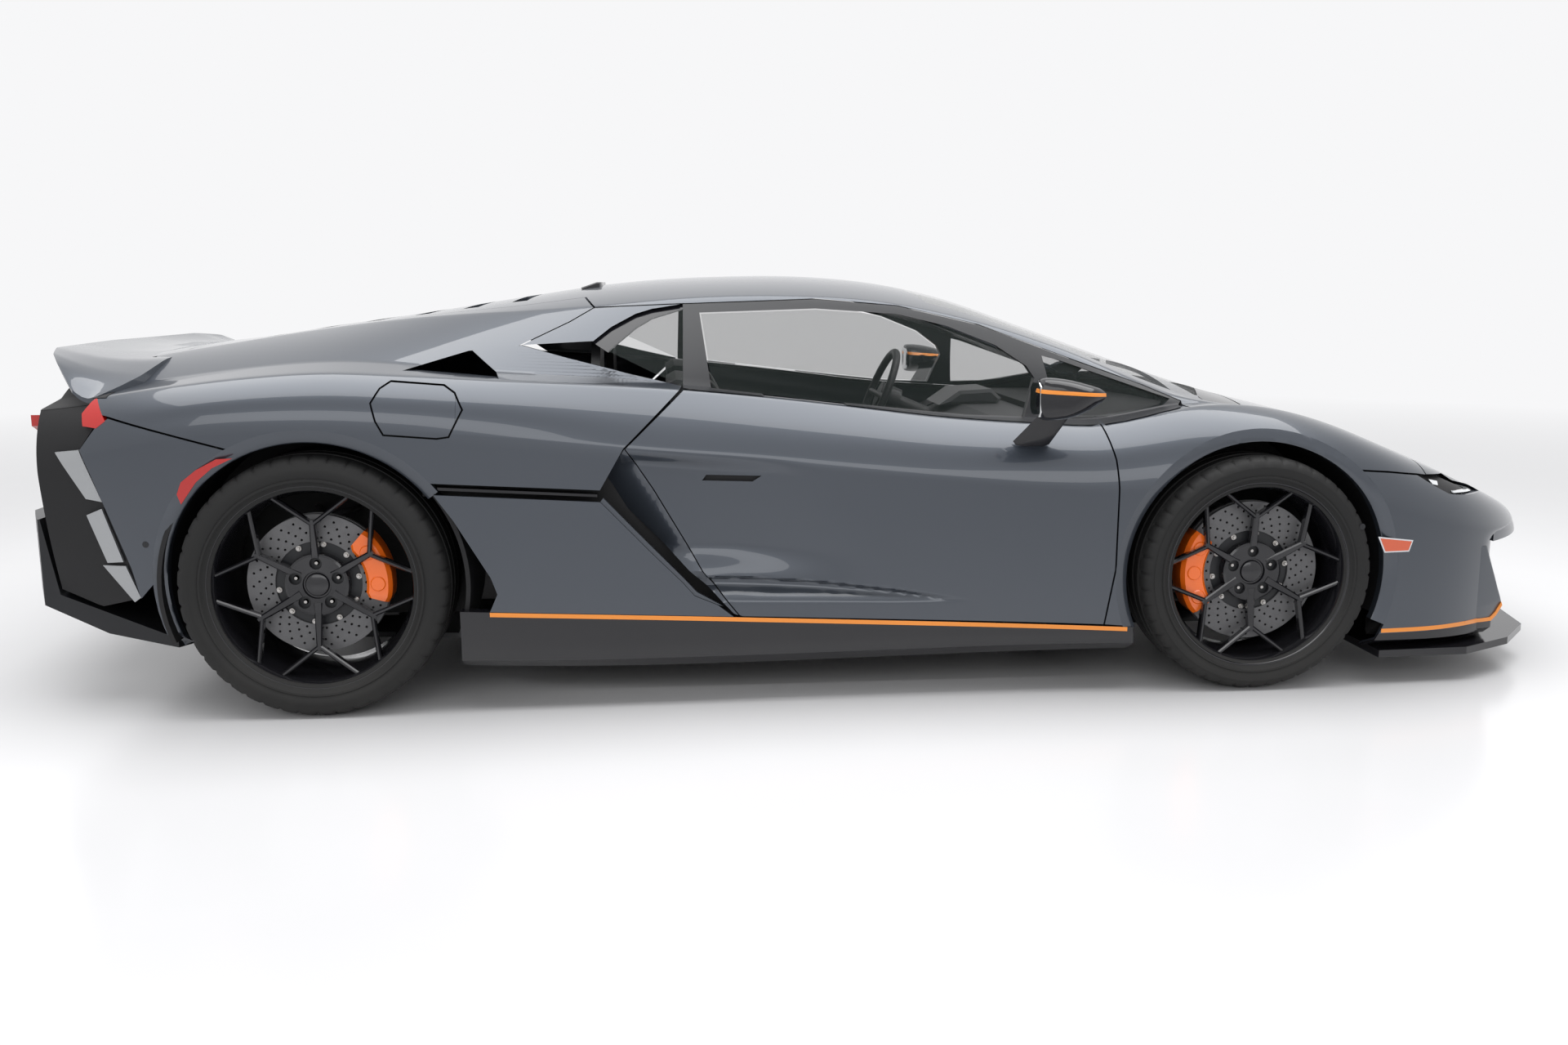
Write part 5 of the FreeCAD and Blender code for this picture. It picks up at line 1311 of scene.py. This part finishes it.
both_sides("lower_quarter_edge", patch(QUARTER_EDGE + BEVEL_BACK, 14, 6), PAINT)

# %% [markdown]
# The fuel flap hangs on the right side only. Its hinge lies inside the skin, so the end of the
# flap next to the hinge would swing into the quarter panel. That end is cut off as a narrow tip
# that stays on the body, and the pocket behind the flap is dark.

# %% Fuel flap
HINGE_SIDE = [(-990.5, 1200), (-990.5, 600), (-900, 600), (-900, 1200)]
FLAP_SIDE = [(-989.9, 600), (-1300, 600), (-1300, 1200), (-989.9, 1200)]
add_piece("fuel_flap_tip", mirrored(panel(FLAP, thickness=26, minus=[from_side(FLAP_SIDE, 700)])),
          PAINT)
add_piece("fuel_flap_skin", mirrored(panel(FLAP, thickness=5, minus=[from_side(HINGE_SIDE, 700)])),
          PAINT, "fuel_flap", ["fuel_flap"])
add_piece("fuel_flap_pocket", mirrored(patch(shrink(FLAP, -8), 6, 24)), MATTE_BLACK)


# %% [markdown]
# ## Door mirrors
# A mirror is a rounded teardrop on a thin stalk. Its housing is lofted through eight outlines
# whose corners are cut back twice, which costs few points and looks round. The coloured line is a
# slice of the same loft, grown by a millimetre.

# %% Door mirrors
def rounded(points, rounds=2):
    """A closed outline with its corners cut back once for each round."""
    points = np.array(points, float)
    for _ in range(rounds):
        following = np.roll(points, -1, 0)
        near, far = 0.75 * points + 0.25 * following, 0.25 * points + 0.75 * following
        points = np.stack([near, far], 1).reshape(-1, 3)
    return points


def mirror_shell(outset=0.0):
    """Housing: rounded teardrop sections from its inner to its outer end."""
    places = [968, 985, 1010, 1045, 1085, 1108, 1117, 1120 + outset]
    rears = [612, 592, 582, 576, 573, 577, 590, 612]
    fronts = [708, 736, 766, 790, 786, 752, 728, 700]
    lows = [848, 832, 818, 807, 806, 814, 824, 842]
    highs = [884, 900, 914, 923, 924, 918, 908, 894]
    rings = []
    for y, rear, front, low, high in zip(places, rears, fronts, lows, highs):
        rear, front, low, high = rear - outset, front + outset, low - outset, high + outset
        middle = (rear + front) / 2
        outline = [(rear, high - 10), (rear + 26, high), (middle, high - 10),
                   (front, (low + high) / 2 + 14), (middle + 10, low + 9), (rear + 26, low),
                   (rear, low + 10)]
        rings.append(rounded([(x, y, z) for x, z in outline]))
    return loft(rings)


both_sides("mirror_shell", mirror_shell(), GLOSS_BLACK, "door", "mirror", angle=40)
BAND = [(560, 884), (800, 868), (800, 877), (560, 895)]
both_sides("mirror_line", combine(mirror_shell(1.0), prism(BAND, "side", 900, 1122), "INTERSECT"),
           LINE_AMBER, "door")
MIRROR_PANE = [(1000, 838), (1020, 822), (1090, 818), (1104, 832), (1102, 900), (1085, 910),
               (1020, 906), (1000, 890)]
both_sides("mirror_pane", prism(MIRROR_PANE, "front", 575, 581), MIRROR_GLASS, "door")
STALK = [[(548, 908, 738), (640, 908, 738), (662, 908, 716), (566, 908, 716)],
         [(572, 936, 772), (660, 936, 772), (676, 936, 752), (590, 936, 752)],
         [(612, 968, 822), (690, 968, 822), (702, 968, 806), (626, 968, 806)],
         [(630, 995, 846), (700, 995, 846), (712, 995, 832), (642, 995, 832)]]
both_sides("mirror_stalk", loft([rounded(ring, 1) for ring in STALK]), GLOSS_BLACK, "door",
           angle=25)


# %% [markdown]
# ## Wheel wells
# Behind each wheel a dark liner hides the inside of the body. It's an arch with a little more room
# than the wheel needs, closed by a wall on its inner side.

# %% Wheel wells
WELL_WALL = 12
WELL_LOW = 215


def well_shell(hub, radius, inner, outer):
    """Arched liner over a wheel, closed by a wall on its inner side."""
    start = math.asin((WELL_LOW - hub[1]) / radius)
    turn = np.radians(np.linspace(math.degrees(start), 180 - math.degrees(start), 60))
    arch, inside = ([(hub[0] + r * math.cos(a), hub[1] + r * math.sin(a)) for a in turn]
                    for r in (radius + WELL_WALL, radius))
    liner = prism(arch + inside[::-1], "side", inner - WELL_WALL, outer)
    return combine(liner, prism(arch, "side", inner - WELL_WALL, inner), "UNION")


both_sides("front_well", well_shell(FRONT_HUB, FRONT_ARCH + 8, 500, 930), MATTE_BLACK,
           left_for="wheel_liners")
both_sides("rear_well", well_shell(REAR_HUB, REAR_ARCH + 8, 624, 950), MATTE_BLACK)

# %% [markdown]
# The far end of the side is a dark housing behind the paint, with three silver strips stepped
# over each other and the red corner of the tail lamp. They're patches of the same body surface.

# %% Side of the tail
TAIL_SIDE = [(-1955, 1300), (-1955, 868), (-1938, 820), (-1990, 745), (-1967, 679), (-1935, 579),
             (-1886, 419), (-1870, 331), (-1990, 300), (-2119, 330), (-2119, 1300)]
both_sides("tail_side", patch(TAIL_SIDE, 40, 16), MATTE_BLACK)
TAIL_STRIPS = [[(-2056, 738), (-1988, 745), (-1939, 604), (-1984, 612)],
               [(-1990, 566), (-1944, 585), (-1903, 436), (-1950, 432)],
               [(-1966, 424), (-1899, 424), (-1868, 334), (-1888, 320)]]
for k, shape in enumerate(TAIL_STRIPS):
    both_sides("tail_strip_%d" % k, patch(shape, 16, 3 + 2 * k), TRIM_SILVER)
TAIL_LAMP = [(-1961, 871), (-1950, 880), (-1912, 821), (-1936, 803), (-1975, 808), (-1982, 840)]
both_sides("tail_lamp_side", patch(TAIL_LAMP, 18, -0.5), RED_LAMP)

# %% [markdown]
# ## Lamps in the nose
# The head lamp is a dark slit under the lid's edge. Its floor is matte black, set back from the
# skin, with a small clear lens and a thin light guide in it. Two gloss blades cross each intake
# below. All of them follow the body's surface, so they're patches of it at different depths.

# %% Head lamps and intake blades
lamp = patch(shrink(HEAD_LAMP, -3), 10, 16, nose=True)
both_sides("head_lamp", lamp, MATTE_BLACK, left_for="head_lamps")
LENSES = [[(1812, 600), (1848, 592), (1842, 582), (1820, 586)],
          [(1900, 556), (2035, 545), (2030, 550), (1902, 561)]]
for k, shape in enumerate(LENSES):
    both_sides("head_lamp_lens_%d" % k, patch(shape, 6, 8, nose=True), CLEAR_LAMP)
for k, low in enumerate((232, 300)):
    blade = [(1900, low + 12), (2353, low + 12), (2353, low), (1900, low)]
    both_sides("intake_fin_%d" % k, combine(patch(blade, 55, 14, nose=True), prism(*MOUTHS[0]),
                                            "INTERSECT"), GLOSS_BLACK)

# %% [markdown]
# ## Beak and grille
# The nose steps back below its beak, so the beak needs an underside, and the mouth a floor and
# slats. These are slices of the whole body form, set a little inside its skin: the form is
# lofted from the sections themselves and cut between two heights.


# %% Slices of the body form
def form_block(first, last, inset, low, high, shift=0.0):
    """A solid slice of the body form, a little inside its skin, between two heights."""
    grid = body_grid(first, last)
    grid = sink(grid, np.full(grid.shape[:2], float(inset)))
    full = np.concatenate([grid, grid[:, -2::-1] * [1, -1, 1]], 1)
    full[..., 0] = np.linspace(first, last, len(full))[:, None] + shift
    block = [(-OUTSIDE, low), (OUTSIDE, low), (OUTSIDE, high), (-OUTSIDE, high)]
    return combine(loft(full), prism(block, "front", first - 400, last + 400), "INTERSECT")


BEAK = 2060
add_piece("nose_beak", form_block(BEAK, NOSE - 0.5, 3.5, 400, 700), PAINT)
add_piece("nose_grille", form_block(BEAK, NOSE - 1, 16, 122, 400, -162), MATTE_BLACK)
MOUTH = prism([(-310, 100), (310, 100), (310, 420), (-310, 420)], "front", 2100, 2300)
for k, height in enumerate((160, 205, 250)):
    slat = form_block(BEAK, NOSE - 1, 10, height, height + 9, -154)
    add_piece("nose_slat_%d" % k, combine(slat, MOUTH, "INTERSECT"), GLOSS_BLACK)
LOWER_NOSE = [(1600, 158), (1845, 158), (2040, 160), (2090, 205), (2353, 225), (2353, 113),
              (1600, 113)]
add_piece("nose_lower_band", patch(LOWER_NOSE, 6, -0.7, full=True, nose=True,
                                   minus=[through(circle(FRONT_HUB, FRONT_ARCH + LIP - 2))]),
          GLOSS_BLACK)

# %% [markdown]
# ## Foot of the bumper
# At its foot the bumper flares out ahead of the wheel and runs on straight where the body turns
# in to the nose. The flare is a thin blade, lofted upwards through a few levels, each with its
# own leading edge, and the coloured line follows that edge.

# %% Flare and its line
FLARE_START = 1990.0
FLARE_SLOPE = 0.30


def foot_depth(x, z):
    """Half width of the flare, which runs on straight where the skin turns in."""
    x, z = np.asarray(x, float), np.asarray(z, float)
    return side_depth(np.minimum(x, FLARE_START), z) - FLARE_SLOPE * np.maximum(x - FLARE_START, 0)


def foot(levels):
    """The flare between some heights: a thin blade from the skin to its leading edge."""
    rings = []
    for z, tip in levels:
        xs = np.array([1935, 1990, tip - 7, tip, tip - 3, 1990, 1935], float)
        drop = np.array([1.5, 1.0, 1.0, 4.5, 12, 16, 22])
        zs = np.full(len(xs), float(z))
        rings.append(np.stack([xs, foot_depth(xs, zs) - drop, zs], 1))
    return loft(rings)


both_sides("bumper_foot", foot([(160, 2060), (182, 2080), (205, 2098), (228, 2090), (260, 2076),
                                (300, 2060), (345, 2041), (392, 2022)]), PAINT)
both_sides("bumper_foot_base", foot([(118, 2058), (140, 2060), (159.5, 2060)]), GLOSS_BLACK)
EDGE_LINE = [(1950, 161), (1990, 160.5), (2024, 160), (2056, 160.5), (2074, 175), (2096, 204)]
strip = []
for x, z in EDGE_LINE:
    xs, zs = np.array([x, x - 4, x - 4, x], float), np.array([z, z + 11, z + 11, z], float)
    strip.append(np.stack([xs, foot_depth(xs, zs) + [1.2, 1.2, -3, -3], zs], 1))
both_sides("bumper_foot_line", loft(strip), LINE_AMBER)

# %% [markdown]
# ## Seats
# Each seat is a hard bucket with leather pads. A pad is sewn from flat pieces and filled, so it
# bulges between its seams. Blender's cloth does that: a plain pad is remeshed, pumped up with a
# little pressure, and its growth is capped so that it stays on the bucket.

# %% Padded leather
PAD_GROWTH, PAD_PRESSURE, PAD_VOXEL, PAD_FRAMES = 13.0, 4.0, 12.0, 20


def carried(side, stations):
    """An outline (x, z) carried across the car. A station is a place and how far it's cut back."""
    return loft([[(x, y, z) for x, z in shrink(side, trim)] for y, trim in stations])


def pad_block(side, inner, outer, trim=14):
    """A plain pad, narrower at its two faces."""
    return carried(side, ((inner, trim), (inner + trim, 0), (outer - trim, 0), (outer, trim)))


def plain_mesh(piece):
    """The mesh that a piece has after its modifiers."""
    graph = bpy.context.evaluated_depsgraph_get()
    return bpy.data.meshes.new_from_object(piece.evaluated_get(graph))


def filled_pad(name, mesh):
    """The pad after its cloth has been pumped up, as a plain mesh."""
    pad = bpy.data.objects.new(name, mesh)
    SCENE.collection.objects.link(pad)
    remesh = pad.modifiers.new("remesh", "REMESH")
    remesh.mode, remesh.voxel_size = "VOXEL", PAD_VOXEL * MM
    even = plain_mesh(pad)
    pad.modifiers.remove(remesh)
    pad.data = even
    start = np.array([v.co for v in even.vertices])
    cloth = pad.modifiers.new("cloth", "CLOTH")
    cloth.settings.use_pressure = True
    cloth.settings.uniform_pressure_force = PAD_PRESSURE
    cloth.settings.effector_weights.gravity = 0.0
    cloth.point_cache.frame_start, cloth.point_cache.frame_end = 1, PAD_FRAMES
    for number in range(1, PAD_FRAMES + 1):
        SCENE.frame_set(number)
    pumped = plain_mesh(pad)
    pad.modifiers.remove(cloth)
    shift = np.array([v.co for v in pumped.vertices]) - start
    far = np.linalg.norm(shift, axis=1, keepdims=True)
    place = start + shift * np.minimum(1, PAD_GROWTH * MM / np.maximum(far, 1e-9))
    even.vertices.foreach_set("co", place.ravel())
    even.update()
    SCENE.frame_set(1)
    smooth = pad.modifiers.new("smooth", "SUBSURF")
    smooth.levels = smooth.render_levels = 1
    result = plain_mesh(pad)
    pad.modifiers.remove(smooth)
    bpy.data.objects.remove(pad)
    return result


print("pads ready")

# %% Seats
CUSHION = [(20, 292), (60, 268), (395, 316), (405, 348), (380, 362), (200, 336), (50, 322)]
BOLSTER = [(0, 300), (60, 268), (385, 310), (390, 350), (300, 378), (90, 372), (10, 350)]
BACK = [(-60, 330), (-20, 350), (-40, 440), (-190, 720), (-225, 740), (-262, 715), (-110, 420)]
BACK_BOLSTER = [(-70, 360), (10, 380), (20, 450), (-90, 640), (-190, 720), (-240, 690), (-120, 440)]
HEAD = [(-262, 742), (-216, 752), (-262, 850), (-290, 880), (-330, 876), (-335, 850)]
PADS = {"cushion": (CUSHION, 215, 515), "cushion_bolster_in": (BOLSTER, 152, 218),
        "cushion_bolster_out": (BOLSTER, 512, 578), "back": (BACK, 222, 508),
        "back_bolster_in": (BACK_BOLSTER, 156, 226), "back_bolster_out": (BACK_BOLSTER, 504, 574),
        "head": (HEAD, 270, 460)}
for name, (side, inner, outer) in PADS.items():
    mesh = filled_pad(name, pad_block(side, inner, outer))
    for hand, shape in (("left", mesh), ("right", mirrored(mesh))):
        stands_for = ["seats"] if (name, hand) == ("cushion", "left") else []
        piece = add_piece("seat_%s_%s" % (name, hand), shape, LEATHER, "body", stands_for, 60)
BUCKET = [(415, 300), (395, 180), (330, 156), (-170, 156), (-330, 500), (-425, 880), (-395, 896),
          (-340, 890), (-255, 690), (-80, 300), (10, 262), (200, 280)]
both_sides("seat_bucket", carried(BUCKET, ((134, 16), (146, 2), (158, 0), (572, 0), (584, 2),
                                           (596, 16))), SUEDE)

# %% [markdown]
# The cabin is seen only through dark glass. A hood over the instruments, a middle screen and two
# thin ribs are enough, and they're outlines carried across the car like the bucket.

# %% Dashboard details
HOOD = [(560, 735), (640, 790), (760, 796), (800, 760), (780, 735)]
add_piece("instrument_hood", carried(HOOD, ((225, 14), (240, 2), (490, 2), (505, 14))), SUEDE)
SCREEN = [(505, 640), (512, 700), (530, 700), (520, 640)]
add_piece("middle_screen", carried(SCREEN, ((-95, 3), (-92, 0), (92, 0), (95, 3))), GLOSS_BLACK)
RIB = [(545, 698), (640, 742), (828, 746), (828, 738), (645, 733), (552, 690)]
both_sides("dash_rib", carried(RIB, ((520, 0), (660, 0))), SATIN_DARK)


# %% [markdown]
# ## Tail
# The spoiler grows out of the deck and sweeps up. Its sections change smoothly from the middle
# of the car to the corner, where three small fins close the gap to the deck. Below the tail the
# black diffuser is a tray with channels between upright fins.

# %% Spoiler
WING_PLACES = np.linspace(-868, 868, 57)
SAG = 16


def wing_size(values):
    """A size of the spoiler at every place across the car."""
    return np.interp(np.abs(WING_PLACES), [0, 300, 600, 740, 810, 868], values)


def wing_mesh():
    """Upswept lip: rounded sections from corner to corner."""
    root_x = wing_size([-1850, -1852, -1858, -1880, -1912, -1950])
    root_z = wing_size([993, 988, 968, 930, 906, 884])
    tip_x = wing_size([-2230, -2212, -2158, -2110, -2072, -2020])
    tip_z = wing_size([1001, 1000, 1003, 992, 966, 905])
    thickness = wing_size([30, 30, 30, 27, 22, 12])
    rings = []
    for k, y in enumerate(WING_PLACES):
        root, tip = np.array([root_x[k], root_z[k]]), np.array([tip_x[k], tip_z[k]])
        run, thin = tip - root, thickness[k]
        upper = [root + run * t + [0, -SAG * math.sin(math.pi * t)]
                 for t in (0, 0.2, 0.4, 0.6, 0.8, 0.95)]
        lower = [root + run * t + [0, -SAG * math.sin(math.pi * t) - thin * (1.3 - 0.5 * t)]
                 for t in (0.95, 0.7, 0.45, 0.2, 0)]
        outline = upper + [tip, tip + [4, -0.45 * thin]] + lower
        rings.append([(x, y, z) for x, z in outline])
    return loft(rings)


add_piece("spoiler", wing_mesh(), PAINT, "body", ["tail_wing"], 38)
FIN_HOUSE = [(-1975, 962), (-1915, 972), (-1922, 880), (-1968, 878)]
both_sides("fin_recess", patch(FIN_HOUSE, 8, -1.5), MATTE_BLACK)
for k in range(3):
    z = 892 + 26 * k
    fin = [(-1972, z), (-1926, z + 3), (-1924, z + 12), (-1970, z + 15)]
    both_sides("deck_fin_%d" % k, patch(fin, 16, -7), PAINT)

# %% [markdown]
# The diffuser's tray is what its side view and its plan have in common. Eight channels are then
# cut along it, and the upright fins are what is left between them.

# %% Diffuser
UNDER = [(-1000.5, 118), (-1760, 150), (-2000, 210), (-2250, 340), (-2353, 440), (-2353, 500),
         (-2300, 520), (-2160, 540), (-2122, 325), (-1850, 205), (-1700, 165), (-1000.5, 132)]
UNDER_PLAN = [(-1000.5, 0), (-1000.5, 590), (-1760, 620), (-1815, 800), (-2166, 806), (-2238, 650),
              (-2312, 480), (-2352.5, 370), (-2352.5, 0)]
CHANNEL = [(-1880, 100), (-1880, 190), (-2135, 330), (-2175, 480), (-2420, 480), (-2420, 100)]
CHANNEL_HALF = 70
tray = combine(prism(UNDER, "side", -860, 860), prism(whole(UNDER_PLAN), "plan", 0, 800),
               "INTERSECT")
for y in (-620, -435, -260, -87, 87, 260, 435, 620):
    channel = prism(CHANNEL, "side", y - CHANNEL_HALF, y + CHANNEL_HALF)
    tray = combine(tray, channel, "DIFFERENCE")
add_piece("diffuser_tray", tray, SATIN_DARK, "body", ["diffuser"])
SCOOP_SIDE = [(-690, 1165), (-640, 1182), (-628, 1182), (-628, 1160), (-690, 1155)]
add_piece("roof_scoop", carried(SCOOP_SIDE, ((-205, 4), (-195, 0), (195, 0), (205, 4))),
          GLOSS_BLACK)


# %% [markdown]
# ## Pieces carried over
# Some solids of the frame are shown as they are, such as the splitter, the engine and the
# dashboard. They keep their meshes and only get one of this scene's finishes.

# %% Finishes for the pieces carried over from the frame
def dress(material, *names):
    """Give carried-over CAD nodes a finish, and keep their meshes."""
    for name in names:
        for slot in bpy.data.objects[name].material_slots:
            slot.material = material


dress(GLOSS_BLACK, "front_splitter", "cowl")
dress(MATTE_BLACK, "tail_panel", "luggage_tub", "tub")
dress(STEEL, "exhaust_tips")
dress(RED_LAMP, "tail_lamps")
dress(CAST, "engine", "front_suspension", "rear_suspension", "rear_knuckles", "knuckle_front_left",
      "knuckle_front_right")
dress(LEATHER, "dashboard", "steering_wheel")
shown = [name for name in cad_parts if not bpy.data.objects[name].hide_render]
print("carried over:", len(shown))
